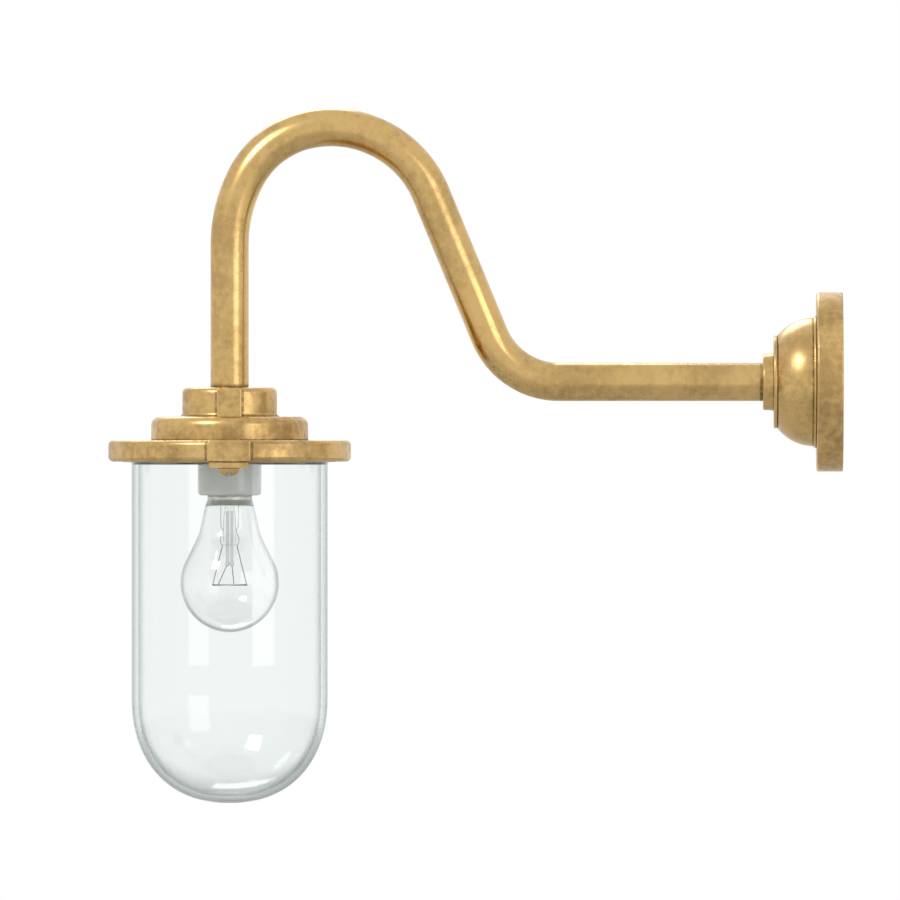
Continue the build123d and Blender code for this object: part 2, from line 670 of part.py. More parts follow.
# ---- The head
def head_casting():
    """Stepped casting with a glass recess below, lugs on its ring and ribs on its boss."""
    head = turned(
        (0, RING_FOOT, 0),
        (RING_R, RING_FOOT, RING_EDGE),
        (RING_R, RING_TOP, RING_EDGE),
        (STEP_D / 2, RING_TOP, 0),
        (STEP_D / 2, STEP_TOP, STEP_EDGE),
        (BOSS_D / 2, STEP_TOP, BOSS_ROOT),
        (BOSS_D / 2, BOSS_TOP, BOSS_EDGE),
        (0, BOSS_TOP, 0),
    )
    lug_face = RING_R + LUG_REACH
    lug_shape = outline(
        (-LUG_WIDTH / 2, LUG_BOTTOM, LUG_EDGE),
        (LUG_WIDTH / 2, LUG_BOTTOM, LUG_EDGE),
        (LUG_WIDTH / 2, RING_TOP + LUG_RISE, LUG_EDGE),
        (-LUG_WIDTH / 2, RING_TOP + LUG_RISE, LUG_EDGE),
    )
    rib_shape = outline(
        (-RIB_WIDTH / 2, STEP_TOP, 0),
        (RIB_WIDTH / 2, STEP_TOP, 0),
        (RIB_WIDTH / 2, BOSS_TOP - RIB_DROP, 1.5),
        (-RIB_WIDTH / 2, BOSS_TOP - RIB_DROP, 1.5),
    )
    lug_root = RECESS_R + 1
    rib_root = CORE_HOLLOW_R + 1.5
    lug = Pos(lug_root, 0, 0) * extrude(Plane.YZ * lug_shape, lug_face - lug_root)
    rib = Pos(rib_root, 0, 0) * extrude(Plane.YZ * rib_shape, BOSS_D / 2 + RIB_REACH - rib_root)
    lug = fillet(lug.faces().sort_by(Axis.X)[-1].edges(), 1.0)
    rib = fillet(rib.faces().sort_by(Axis.X)[-1].edges().filter_by(Axis.Y, reverse=True), 1.0)
    for turn in (0, 180):
        head += Rot(0, 0, turn) * (lug + rib)
    moat = CORE_HOLLOW_R - HEAD_SLEEVE_R
    head -= turned(
        (0, RING_FOOT - 1, 0),
        (RECESS_R, RING_FOOT - 1, 0),
        (RECESS_R, RECESS_TOP, 0.5),
        (CAVITY_R, RECESS_TOP, 0),
        (CAVITY_R, CEILING, HOLLOW_EDGE),
        (CORE_HOLLOW_R, CEILING, 0),
        (CORE_HOLLOW_R, BOSS_TOP - CASTING_WALL, min(HOLLOW_EDGE, moat * 0.5)),
        (HEAD_SLEEVE_R, BOSS_TOP - CASTING_WALL, min(SLEEVE_EDGE, moat * 0.4)),
        (HEAD_SLEEVE_R, HEAD_SLEEVE_FOOT, 0),
        (0, HEAD_SLEEVE_FOOT, 0),
    )
    head -= rod(TUBE_R + THREAD_GAP, HEAD_SLEEVE_FOOT - 1, BOSS_TOP + 1)
    for side in (-1, 1):
        y = side * POST_SPACING / 2
        head += rod(POST_D / 2, BRACKET_TOP, CEILING + 1, 0, y)
        head -= rod(BRACKET_SCREW_D / 2 + THREAD_GAP, BRACKET_TOP - 1, CEILING, 0, y)
        x = side * RING_R
        head -= rod(CLIP_SCREW_R + THREAD_GAP, LUG_BOTTOM - 1, RING_TOP - 2.5, x)
    turn = radians(EARTH_TURN)
    x = EARTH_REACH * cos(turn)
    y = EARTH_REACH * sin(turn)
    head += rod(TAG_D / 2, CEILING - EARTH_BOSS, CEILING + 1, x, y)
    head -= rod(EARTH_SCREW_D / 2 + THREAD_GAP, CEILING - EARTH_BOSS - 1, CEILING + 2, x, y)
    return LAMP * head


def tube_locknut():
    """Hexagon nut on the tube's thread, under the head's sleeve."""
    flats = TUBE_R + THREAD_GAP + NUT_WALL
    nut = extrude(RegularPolygon(flats, 6, major_radius=False), NUT_HEIGHT)
    nut = Pos(0, 0, NUT_FOOT) * nut
    chamfered = turned(
        (0, NUT_FOOT - 1, 0),
        (flats, NUT_FOOT - 1, 0),
        (flats, NUT_FOOT, 0),
        (flats + NUT_HEIGHT, NUT_FOOT + NUT_HEIGHT, 0),
        (0, NUT_FOOT + NUT_HEIGHT, 0),
    )
    nut = (nut & chamfered) - rod(TUBE_R + THREAD_GAP, NUT_FOOT - 1, HEAD_SLEEVE_FOOT + 1)
    return LAMP * nut


# ---- The glass and what holds it
def crown(radius, height):
    """Half outline of the glass's round bottom, from its side to its lowest point."""
    steps = 12
    points = []
    for step in range(steps + 1):
        angle = radians(90 * step / steps)
        x = radius * abs(cos(angle)) ** (2 / CROWN_POWER)
        drop = height * sin(angle) ** (2 / CROWN_POWER)
        points.append((x if step < steps else 0, GLASS_FOOT + CROWN_HEIGHT - drop))
    return Spline(*points, tangents=[(0, -1), (-1, 0)])


def well_glass():
    """Deep glass with a round bottom and a flat lip."""
    inner_r = GLASS_R - GLASS_WALL
    outer = crown(GLASS_R, CROWN_HEIGHT)
    inner = crown(inner_r, CROWN_HEIGHT - GLASS_WALL)
    wall = [
        *outer.edges(),
        *Polyline(outer @ 0, (GLASS_R, LIP_FOOT), (LIP_R, LIP_FOOT), (LIP_R, LIP_TOP)).edges(),
        *Polyline((LIP_R, LIP_TOP), (inner_r, LIP_TOP), inner @ 0).edges(),
        *inner.edges(),
        *Line(inner @ 1, outer @ 1).edges(),
    ]
    section = Sketch() + make_face(wall)
    corners = [
        (GLASS_R, LIP_FOOT, 1.5),
        (LIP_R, LIP_FOOT, 1.2),
        (LIP_R, LIP_TOP, 1.2),
        (inner_r, LIP_TOP, 1.0),
    ]
    for x, y, rounding in corners:
        corner = section.vertices().sort_by_distance((x, y))[0]
        section = fillet(corner, rounding)
    return LAMP * spun(section)


def glass_gasket():
    low = LIP_TOP + FACE_GAP
    ring = pipe(RECESS_R - SLIP, GLASS_R - GLASS_WALL, low, low + GASKET_THICK)
    return LAMP * ring


def glass_clip(side):
    """Plate with a round toe under the glass lip. Half a turn takes the toe off the lip."""
    toe = CenterArc((0, 0), CLIP_D / 2, 90, 180)
    tail = outline(
        (0, -CLIP_D / 2, 0),
        (CLIP_TAIL, -CLIP_D / 2, 1.0),
        (CLIP_TAIL, CLIP_D / 2, 1.0),
        (0, CLIP_D / 2, 0),
    )
    plan = make_face([*toe.edges(), *Line(toe @ 1, toe @ 0).edges()]) + tail
    clip = extrude(plan, CLIP_THICK) - Cylinder(CLIP_SCREW_R + PIVOT_GAP, 4 * CLIP_THICK)
    turn = Rot(0, 0, 0 if side > 0 else 180)
    return LAMP * turn * Pos(RING_R, 0, CLIP_FOOT) * clip


def clip_screws():
    """Round-head slotted screws, from below through the clips into the lugs."""
    shank = RING_TOP - 3.5 - CLIP_FOOT
    screw = domed_screw(
        CLIP_SCREW_R, shank, CLIP_SCREW_HEAD_D / 2, CLIP_SCREW_HEAD, SLOT_WIDTH, SLOT_DEPTH
    )
    heads = Pos(0, 0, CLIP_FOOT - SNUG) * Rot(180, 0, 0) * screw
    return LAMP * group([Pos(side * RING_R, 0, 0) * heads for side in (-1, 1)])


# ---- The lampholder
def holder_body():
    """Porcelain body: socket below, pockets for the terminal pillars on top."""
    body = turned(
        (0, HOLDER_FOOT, 0),
        (HOLDER_D / 2, HOLDER_FOOT, HOLDER_EDGE),
        (HOLDER_D / 2, HOLDER_TOP, 1.5),
        (0, HOLDER_TOP, 0),
    )
    bore = SHELL_R + SNUG
    mouth = CAP_SKIRT_D / 2 + 0.6
    body -= turned(
        (0, HOLDER_FOOT - 1, 0),
        (mouth, HOLDER_FOOT - 1, 0),
        (mouth, HOLDER_FOOT + 1.5, 0),
        (bore, HOLDER_FOOT + 3.5, 0),
        (bore, SOCKET_TOP, 0),
        (0, SOCKET_TOP, 0),
    )
    for side in (-1, 1):
        x = side * PILLAR_SPACING / 2
        half_x = PILLAR_WIDTH / 2 + SNUG
        half_y = PILLAR_DEPTH / 2 + SNUG
        low = HOLDER_TOP - PILLAR_SINK
        body -= block(x - half_x, x + half_x, -half_y, half_y, low, HOLDER_TOP + 1)
        y = side * HOLDER_SCREW_SPACING / 2
        body -= rod(HOLDER_SCREW_D / 2 + THREAD_GAP, HOLDER_TOP - 8, HOLDER_TOP + 1, 0, y)
    return LAMP * body


def holder_shell():
    """Screw shell inside the socket, with a turned-in rim at its top."""
    low = HOLDER_FOOT + 3.5
    high = SOCKET_TOP - 1.6
    shell = pipe(SHELL_R, SHELL_BORE_R, low, high)
    shell += pipe(SHELL_R, SHELL_BORE_R - 1.5, high, high + SHELL_WALL)
    return LAMP * shell


def holder_contact():
    """Bowed spring leaf under the socket's floor, which the bulb's tip meets."""
    tip = CAP_TIP + FACE_GAP
    half = LEAF_LENGTH / 2
    sag = SOCKET_TOP - LEAF_THICK - tip
    radius = (half**2 + sag**2) / (2 * sag)
    sweep_angle = degrees(asin(half / radius))
    centre = tip + radius
    outer = CenterArc((0, centre), radius, 270 - sweep_angle, 2 * sweep_angle)
    inner = CenterArc((0, centre), radius - LEAF_THICK, 270 - sweep_angle, 2 * sweep_angle)
    ends = [Line(outer @ 0, inner @ 0), Line(inner @ 1, outer @ 1)]
    section = make_face([edge for piece in (outer, inner, *ends) for edge in piece.edges()])
    leaf = extrude(Plane.XZ * section, LEAF_WIDTH / 2, both=True)
    return LAMP * leaf


def pillar_hole_level():
    """Height of the pillars' side screws, clear of the porcelain."""
    return HOLDER_TOP + 2.4


def holder_terminals():
    """Brass pillars in the pockets, bored from the top for the cores."""
    low = HOLDER_TOP - PILLAR_SINK + SNUG
    high = HOLDER_TOP - PILLAR_SINK + PILLAR_HEIGHT
    pillars = []
    for side in (-1, 1):
        x = side * PILLAR_SPACING / 2
        half_x = PILLAR_WIDTH / 2
        half_y = PILLAR_DEPTH / 2
        pillar = block(x - half_x, x + half_x, -half_y, half_y, low, high)
        pillar = fillet(pillar.edges().filter_by(Axis.Z), 0.6)
        pillar -= rod(PILLAR_BORE / 2, high - 5, high + 1, x)
        drill = Rot(0, side * 90, 0) * rod(PILLAR_SCREW_D / 2 + THREAD_GAP, 0, PILLAR_WIDTH)
        pillar -= Pos(x, 0, pillar_hole_level()) * drill
        pillars.append(pillar)
    return LAMP * group(pillars)


def holder_terminal_screws():
    """Small slotted screws in the pillars' outer sides, pressed on the cores."""
    length = PILLAR_WIDTH / 2 - CORE_R - FACE_GAP
    screw = cheese_screw(PILLAR_SCREW_D, length, PILLAR_SCREW_HEAD)
    screws = []
    for side in (-1, 1):
        face = side * (PILLAR_SPACING / 2 + PILLAR_WIDTH / 2)
        screws.append(Pos(face, 0, pillar_hole_level()) * Rot(0, side * 90, 0) * screw)
    return LAMP * group(screws)


def holder_bracket():
    """Flat strap that hangs the lampholder from the casting's two posts."""
    length = POST_SPACING + BRACKET_WIDTH - 2
    strap = extrude(SlotOverall(length, BRACKET_WIDTH, rotation=90), BRACKET_THICK)
    strap = Pos(0, 0, HOLDER_TOP) * strap
    for side in (-1, 1):
        post = BRACKET_SCREW_D / 2 + SNUG
        strap -= rod(post, HOLDER_TOP - 1, BRACKET_TOP + 1, 0, side * POST_SPACING / 2)
        screw = HOLDER_SCREW_D / 2 + SNUG
        strap -= rod(screw, HOLDER_TOP - 1, BRACKET_TOP + 1, 0, side * HOLDER_SCREW_SPACING / 2)
    return LAMP * strap


def bracket_screws():
    """Screws from below through the strap into the posts."""
    screw = cheese_screw(BRACKET_SCREW_D, BRACKET_SCREW_LENGTH, BRACKET_SCREW_HEAD)
    screw = Rot(180, 0, 0) * screw
    spread = POST_SPACING / 2
    return LAMP * group([Pos(0, side * spread, HOLDER_TOP) * screw for side in (-1, 1)])


def holder_screws():
    """Screws from above through the strap into the porcelain."""
    screw = cheese_screw(HOLDER_SCREW_D, HOLDER_SCREW_LENGTH, HOLDER_SCREW_HEAD)
    spread = HOLDER_SCREW_SPACING / 2
    return LAMP * group([Pos(0, side * spread, BRACKET_TOP) * screw for side in (-1, 1)])


# ---- The bulb
def bulb_outline(inset):
    """Half section of the pear shape and its neck in the cap, drawn in by the inset."""
    radius = BULB_R - inset
    neck_r = CAP_D / 2 - CAP_WALL - 0.6 - inset
    edge_r = NECK_R - 0.3 - inset
    shoulder = (NECK_R - inset + NECK_SLOPE * NECK_LENGTH, CAP_EDGE - NECK_LENGTH)
    reach = hypot(shoulder[0], shoulder[1] - BULB_CENTRE)
    lean = atan2(shoulder[1] - BULB_CENTRE, shoulder[0])
    touch = lean - atan2(sqrt(reach**2 - radius**2), radius)
    meet = (radius * cos(touch), BULB_CENTRE + radius * sin(touch))
    top = (neck_r, CAP_EDGE + 8)
    inside = (neck_r, CAP_EDGE + 4)
    lip = (edge_r, CAP_EDGE - 0.8)
    neck = FilletPolyline(top, inside, lip, shoulder, meet, radius=[3, 2, NECK_ARC])
    bowl = CenterArc((0, BULB_CENTRE), radius, degrees(touch), -90 - degrees(touch))
    axis = Polyline(bowl @ 1, (0, CAP_EDGE + 8), top)
    return make_face([*neck.edges(), *bowl.edges(), *axis.edges()])


def bulb_glass():
    """Pear-shaped glass with a narrow neck inside the cap."""
    return LAMP * (spun(bulb_outline(0)) - spun(bulb_outline(BULB_GLASS)))


def bulb_cap():
    """Plain drawn cap: narrow barrel above, flared to the glass below."""
    barrel = CAP_D / 2
    mid = barrel + 0.45
    skirt = CAP_SKIRT_D / 2
    top = CAP_TIP - 3.7
    level = CAP_EDGE + 5.5
    outer = [
        (skirt, CAP_EDGE),
        (mid, CAP_EDGE + 3.5),
        (mid, level),
        (barrel, level + 1),
        (barrel, top),
    ]
    shell = turned(
        *[(x, y, 0) for x, y in outer],
        (barrel - 2, top + 1.4, 0),
        (barrel - 2 - CAP_WALL, top + 1.4 - CAP_WALL, 0),
        *[(x - CAP_WALL, y, 0) for x, y in reversed(outer)],
    )
    return LAMP * shell


def bulb_insulator():
    """Glass cone between the cap's rim and the tip contact."""
    rim = CAP_D / 2 - 2 - CAP_WALL - SNUG
    low = CAP_TIP - 3.7
    cone = turned(
        (0, low - 2, 0),
        (rim, low - 2, 0),
        (rim, low + 0.9, 0),
        (5.0, CAP_TIP - 0.8, 0),
        (0, CAP_TIP - 0.8, 0),
    )
    return LAMP * cone


def bulb_contact():
    disc = turned((0, CAP_TIP - 0.8, 0), (4.6, CAP_TIP - 0.8, 0), (4.6, CAP_TIP, 0.6), (0, CAP_TIP, 0))
    return LAMP * disc


def bulb_stem():
    """Glass mount: a flared tube, a tube inside it, a pinched foot, and two rods with buttons."""
    top = CAP_EDGE + 7
    waist = STEM_FOOT + 9.5
    bulge = STEM_FOOT + 3.5
    flare_r = CAP_D / 2 - CAP_WALL - 0.6 - BULB_GLASS - SNUG
    tube = turned(
        (0, top, 0),
        (flare_r, top, 0),
        (flare_r, top - 1.2, 0),
        (STEM_R, top - 5, 2),
        (STEM_R, waist + 2.5, 1.5),
        (STEM_WAIST_R, waist, 1.5),
        (STEM_BULGE_R, bulge, 2),
        (STEM_BULGE_R - 1, STEM_FOOT, 0.9),
        (0, STEM_FOOT, 0),
    )
    tube -= turned(
        (INNER_TUBE_TOP_R, top + 1, 0),
        (flare_r - 1.5, top + 1, 0),
        (STEM_R - STEM_WALL, top - 5, 2),
        (STEM_R - STEM_WALL, waist + 3, 0),
        (INNER_TUBE_R, waist + 2.5, 0),
        (INNER_TUBE_R, waist + 6, 0),
        (INNER_TUBE_TOP_R, CAP_EDGE - 1, 0),
    )
    tube -= turned(
        (0, top + 1, 0),
        (INNER_TUBE_TOP_R - INNER_TUBE_WALL, top + 1, 0),
        (INNER_TUBE_TOP_R - INNER_TUBE_WALL, CAP_EDGE - 1, 0),
        (INNER_TUBE_R - INNER_TUBE_WALL, waist + 6, 0),
        (INNER_TUBE_R - INNER_TUBE_WALL, STEM_FOOT + 2.5, 1),
        (0, STEM_FOOT + 2.5, 0),
    )
    for side in (-1, 1):
        y = side * ROD_GAP / 2
        tube += rod(ROD_R, CAP_EDGE - ROD_DEPTH, CAP_EDGE - ROD_TOP, 0, y)
        tube += Pos(0, y, CAP_EDGE - ROD_DEPTH) * Sphere(BUTTON_R)
    return LAMP * tube


def ring_point(angle):
    """Point of the filament's ring, at an angle about the lamp's axis."""
    turn = radians(angle)
    return Vector(FILAMENT_R * cos(turn), FILAMENT_R * sin(turn), CAP_EDGE - FILAMENT_DEPTH)


def wire_to_ring(start, angle):
    """Straight wire from a start to just short of the filament's ring."""
    reach = ring_point(angle) - start
    route = Line(start, start + reach.normalized() * (reach.length - WIRE_D))
    return sweep(Plane(start, z_dir=route % 0) * Circle(WIRE_D / 2), route)


def bulb_leads():
    """Two lead wires, from the stem's foot to the filament's ends."""
    wires = []
    for side, angle in zip((-1, 1), LEAD_ANGLES):
        start = Vector(0, side * LEAD_SPACING / 2, STEM_FOOT - SNUG)
        wires.append(wire_to_ring(start, angle))
    return LAMP * group(wires)


def bulb_supports():
    """Fine wires from the rods' buttons out to the filament."""
    wires = []
    for side, angle in zip((-1, 1), SUPPORT_ANGLES):
        button = Vector(0, side * ROD_GAP / 2, CAP_EDGE - ROD_DEPTH)
        outwards = (ring_point(angle) - button).normalized()
        wires.append(wire_to_ring(button + outwards * (BUTTON_R + SNUG), angle))
    return LAMP * group(wires)


def bulb_filament():
    """Filament: most of a half ring, from one lead over both supports to the other."""
    low, high = LEAD_ANGLES
    route = CenterArc((0, 0, CAP_EDGE - FILAMENT_DEPTH), FILAMENT_R, low, high - low)
    ring = sweep(Plane(route @ 0, z_dir=route % 0) * Circle(WIRE_D / 2), route)
    return LAMP * ring


NODES = {
    "back_plate": back_plate,
    "wall_seal": wall_seal,
    "arm_foot": arm_foot,
    "foot_screws": foot_screws,
    "terminal_block": terminal_block,
    "terminal_sleeves": terminal_sleeves,
    "terminal_screws": terminal_screws,
    "block_screw": block_screw,
    "earth_tags": earth_tags,
    "earth_screws": earth_screws,
    "rose_cover": rose_cover,
    "rose_collar": rose_collar,
    "collar_grub_screw": collar_grub_screw,
    "arm_tube": arm_tube,
    "inner_flex": inner_flex,
    "live_core": lambda: line_core(-1),
    "neutral_core": lambda: line_core(1),
    "earth_core": earth_core,
    "head_casting": head_casting,
    "tube_locknut": tube_locknut,
    "glass_gasket": glass_gasket,
    "well_glass": well_glass,
    "clip_front": lambda: glass_clip(1),
    "clip_back": lambda: glass_clip(-1),
    "clip_screws": clip_screws,
    "holder_bracket": holder_bracket,
    "bracket_screws": bracket_screws,
    "holder_screws": holder_screws,
    "holder_body": holder_body,
    "holder_shell": holder_shell,
    "holder_contact": holder_contact,
    "holder_terminals": holder_terminals,
    "holder_terminal_screws": holder_terminal_screws,
    "bulb_cap": bulb_cap,
    "bulb_insulator": bulb_insulator,
    "bulb_contact": bulb_contact,
    "bulb_glass": bulb_glass,
    "bulb_stem": bulb_stem,
    "bulb_leads": bulb_leads,
    "bulb_supports": bulb_supports,
    "bulb_filament": bulb_filament,
}

os.makedirs("parts", exist_ok=True)
for name, make in NODES.items():
    export_step(make(), f"parts/{name}.step")
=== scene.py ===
import math

import bmesh
import bpy
import numpy as np
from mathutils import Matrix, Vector


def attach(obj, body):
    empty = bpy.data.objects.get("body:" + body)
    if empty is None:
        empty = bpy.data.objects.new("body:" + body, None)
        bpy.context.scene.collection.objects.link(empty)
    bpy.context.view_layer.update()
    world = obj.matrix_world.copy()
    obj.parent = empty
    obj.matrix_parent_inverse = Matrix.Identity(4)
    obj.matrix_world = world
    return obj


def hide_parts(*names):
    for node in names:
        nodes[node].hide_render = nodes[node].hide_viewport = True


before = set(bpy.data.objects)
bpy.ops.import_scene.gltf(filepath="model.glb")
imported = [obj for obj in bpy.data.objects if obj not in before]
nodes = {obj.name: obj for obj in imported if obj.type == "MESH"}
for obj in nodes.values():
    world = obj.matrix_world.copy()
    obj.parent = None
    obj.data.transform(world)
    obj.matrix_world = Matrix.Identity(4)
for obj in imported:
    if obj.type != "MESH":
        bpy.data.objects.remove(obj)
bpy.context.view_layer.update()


# ---- Wall plate ------------------------------------------------------------------------------
# The round plate that the light hangs from: sand-cast brass, 109 mm across, faced and edged in a
# lathe and left to darken. Three countersunk holes take the wall screws.
class Line:
    """A socket inside a material. Operators on lines and numbers add Math nodes."""

    def __init__(self, socket):
        self.socket = socket

    def node(self, kind, settings=(), inputs=()):
        """Adds a node: its type, then its settings, then its sockets' values or lines."""
        tree = self.socket.id_data
        made = tree.nodes.new("ShaderNode" + kind)
        for name, value in dict(settings).items():
            setattr(made, name, value)
        for name, value in dict(inputs).items():
            if isinstance(value, Line):
                tree.links.new(value.socket, made.inputs[name])
            else:
                made.inputs[name].default_value = value
        return Line(made.outputs[0]) if made.outputs else None

    def output(self, name):
        return Line(self.socket.node.outputs[name])

    def math(self, operation, *values):
        return self.node("Math", {"operation": operation}, enumerate(values))

    def __add__(self, other):
        return self.math("ADD", self, other)

    def __radd__(self, other):
        return self.math("ADD", other, self)

    def __sub__(self, other):
        return self.math("SUBTRACT", self, other)

    def __rsub__(self, other):
        return self.math("SUBTRACT", other, self)

    def __mul__(self, other):
        return self.math("MULTIPLY", self, other)

    def __rmul__(self, other):
        return self.math("MULTIPLY", other, self)

    def __abs__(self):
        return self.math("ABSOLUTE", self)

    def rise(self, low, high):
        """0 below low, 1 above high, and a smooth rise between them."""
        settings = {"interpolation_type": "SMOOTHSTEP"}
        return self.node("MapRange", settings, {"Value": self, "From Min": low, "From Max": high})

    def band(self, centre, width):
        """1 at a value, falling smoothly to 0 at a width from it."""
        return 1 - abs(self - centre).rise(0.0, width)

    def within(self, low, high, soft=0.0004):
        """1 between two values, falling to 0 a little outside them."""
        return self.rise(low - soft, low) * (1 - self.rise(high, high + soft))

    def blend(self, first, second):
        """Colour that goes from the first to the second as this line goes from 0 to 1."""
        return self.node("Mix", {"data_type": "RGBA"}, {0: self, 6: first, 7: second}).output(2)

    def cloud(self, scale, detail=3.0, roughness=0.55):
        """Noise over a place: about 1/scale metres from one cloud to the next."""
        inputs = {"Vector": self, "Scale": scale, "Detail": detail, "Roughness": roughness}
        return self.node("TexNoise", {}, inputs)

    def streaks(self, scale, detail=2.0):
        """Noise along one number, which draws the lines that a tool leaves."""
        inputs = {"W": self, "Scale": scale, "Detail": detail}
        return self.node("TexNoise", {"noise_dimensions": "1D"}, inputs)

    def parts(self):
        """The three numbers of a place."""
        split = self.node("SeparateXYZ", {}, {0: self})
        return split, split.output(1), split.output(2)

    def length(self, other):
        """Length of the two-number vector made of this line and another."""
        return self.math("SQRT", self * self + other * other)

    def relief(self, height, depth):
        """Bump of that height, 0 to 1, and depth in metres, for a shader's Normal."""
        return self.node("Bump", {}, {"Strength": 1.0, "Distance": depth, "Height": height})


def begin(name):
    """New material with no nodes but Texture Coordinate: gives the line of Object coordinates."""
    material = bpy.data.materials.new(name)
    material.use_nodes = True
    material.node_tree.nodes.clear()
    coordinates = material.node_tree.nodes.new("ShaderNodeTexCoord")
    return Line(coordinates.outputs["Object"])


def close(place, surface, volume=None):
    """Ends a material with a Principled shader, and gives the material."""
    inputs = {"Surface": place.node("BsdfPrincipled", {}, surface)}
    if volume:
        inputs["Volume"] = place.node("VolumeAbsorption", {}, volume)
    place.node("OutputMaterial", {}, inputs)
    return next(m for m in bpy.data.materials if m.node_tree == place.socket.id_data)


def dress(material, *names):
    """Puts a material on CAD nodes that keep their shape."""
    for name in names:
        nodes[name].material_slots[0].material = material


BRIGHT_BRASS = (0.64, 0.43, 0.17, 1)
DULL_BRASS = (0.34, 0.215, 0.085, 1)
BROWN_BRASS = (0.075, 0.045, 0.024, 1)


def aged_brass(place, marks, depth, worn=0.0, grime_and_shade=0.0, dulling=0.5, polish=0.26):
    """Closes a material as brass that has aged: clouds and specks of tarnish, brown with grime and
    painted shade where its callers mark corners and gaps, and bright where it is worn. The marks
    are its relief, of that depth in metres."""
    tarnish = (place.cloud(24, 5.0) * 0.65 + place.cloud(230, 3.0) * 0.35).rise(0.38, 0.64)
    specks = place.cloud(820, 2.0).rise(0.63, 0.74)
    rubbed = worn * place.cloud(170, 3.0).rise(0.28, 0.50)
    # Painted shade with some grime: this mask turns the brass brown in the corners, grooves and
    # gaps between parts that the callers mark.
    brown_grime_and_shade = grime_and_shade * (0.55 + 0.45 * place.cloud(300, 3.0).rise(0.35, 0.60))
    colour = (tarnish * dulling).blend(BRIGHT_BRASS, DULL_BRASS)
    colour = (specks * 0.40).blend(colour, BROWN_BRASS)
    colour = (brown_grime_and_shade * 0.85).blend(colour, BROWN_BRASS)
    colour = (rubbed * 0.85).blend(colour, BRIGHT_BRASS)
    rough = polish + tarnish * 0.12 + specks * 0.12 + brown_grime_and_shade * 0.22 - rubbed * 0.10
    surface = {"Base Color": colour, "Metallic": 1.0, "Roughness": rough}
    surface["Normal"] = place.relief(marks, depth)
    return close(place, surface)


def from_wall(place):
    """Lines of the distance from the arm's level axis, and of the distance from the wall."""
    x, y, z = place.parts()
    return x.length(z), 0 - y


PLATE_R = 0.0546
PLATE_THICK = 0.0161
DOME_FOOT = (0.0395, 0.0408)  # radii of the dome's foot on the plate

place = begin("wall_plate_brass")
radius, depth_out = from_wall(place)
rim = depth_out.band(PLATE_THICK, 0.0016) + depth_out.band(0.0, 0.0012)
rim = radius.band(PLATE_R, 0.0016) * rim
# Painted shade: the plate is darkened brown in a ring round the dome's foot, where the dome meets
# it.
under_dome = radius.within(*DOME_FOOT, 0.0012) * depth_out.band(PLATE_THICK, 0.0010)
grain = place.cloud(1400, 3.0) * 0.5 + radius.streaks(1500) * 0.3 + depth_out.streaks(1500) * 0.2
plate_brass = aged_brass(place, grain, 0.00007, rim, under_dome, dulling=0.85, polish=0.30)
dress(plate_brass, "back_plate")


# ---- Wall seal -------------------------------------------------------------------------------
# A soft black rubber ring in the groove behind the plate, which keeps rain out of the hollow. It
# is moulded, so it is dull, with a faint bloom.
place = begin("black_rubber")
bloom = place.cloud(60, 4.0).rise(0.45, 0.75)
colour = bloom.blend((0.018, 0.018, 0.019, 1), (0.045, 0.045, 0.048, 1))
surface = {"Base Color": colour, "Roughness": 0.62 + bloom * 0.2}
surface["Normal"] = place.relief(place.cloud(2600), 0.00003)
rubber = close(place, surface)
dress(rubber, "wall_seal")


# ---- Arm foot --------------------------------------------------------------------------------
# The foot that takes the tube's end: cast and turned brass, as the plate is. Two slotted screws of
# zinc-plated steel hold it on the plate.
dress(plate_brass, "arm_foot")

place = begin("zinc_plated_steel")
haze = place.cloud(300, 4.0).rise(0.35, 0.70)
colour = haze.blend((0.60, 0.61, 0.62, 1), (0.42, 0.43, 0.44, 1))
surface = {"Base Color": colour, "Metallic": 1.0, "Roughness": 0.26 + haze * 0.16}
surface["Normal"] = place.relief(place.cloud(3000), 0.00002)
zinc_steel = close(place, surface)
dress(zinc_steel, "foot_screws")


# ---- Terminal block --------------------------------------------------------------------------
# Two-way block of moulded cream plastic under the arm's foot, held by a screw through its middle.
# Brass sleeves in it take the cores, each under two steel screws.
place = begin("moulded_plastic")
tone = place.cloud(120, 3.0)
colour = tone.blend((0.74, 0.71, 0.62, 1), (0.68, 0.64, 0.54, 1))
surface = {"Base Color": colour, "Roughness": 0.38 + tone * 0.1}
surface["Normal"] = place.relief(place.cloud(1800), 0.00002)
dress(close(place, surface), "terminal_block")
dress(zinc_steel, "terminal_screws", "block_screw")

place = begin("small_part_brass")
small_brass = aged_brass(place, place.cloud(2400, 2.0), 0.00002, dulling=0.4, polish=0.22)
dress(small_brass, "terminal_sleeves")


# ---- Earth tags and screws -------------------------------------------------------------------
# The earth core ends in a pressed brass tag under a brass screw, once on the plate and once in the
# head.
dress(small_brass, "earth_tags", "earth_screws")


# ---- Wiring ----------------------------------------------------------------------------------
# A sheathed flex runs inside the tube, and its three cores come out at both ends. All of it is
# extruded plastic, with a faint grain.
def extruded(name, colour, dark):
    """Soft plastic skin: one colour, a little darker in clouds."""
    place = begin(name)
    tone = place.cloud(90, 3.0).rise(0.35, 0.75)
    surface = {"Base Color": tone.blend(colour, dark), "Roughness": 0.42 + tone * 0.12}
    surface["Normal"] = place.relief(place.cloud(1500), 0.00002)
    return close(place, surface)


dress(extruded("flex_skin", (0.74, 0.74, 0.72, 1), (0.62, 0.62, 0.60, 1)), "inner_flex")
dress(extruded("brown_skin", (0.15, 0.06, 0.03, 1), (0.10, 0.04, 0.02, 1)), "live_core")
dress(extruded("blue_skin", (0.03, 0.15, 0.45, 1), (0.02, 0.10, 0.33, 1)), "neutral_core")

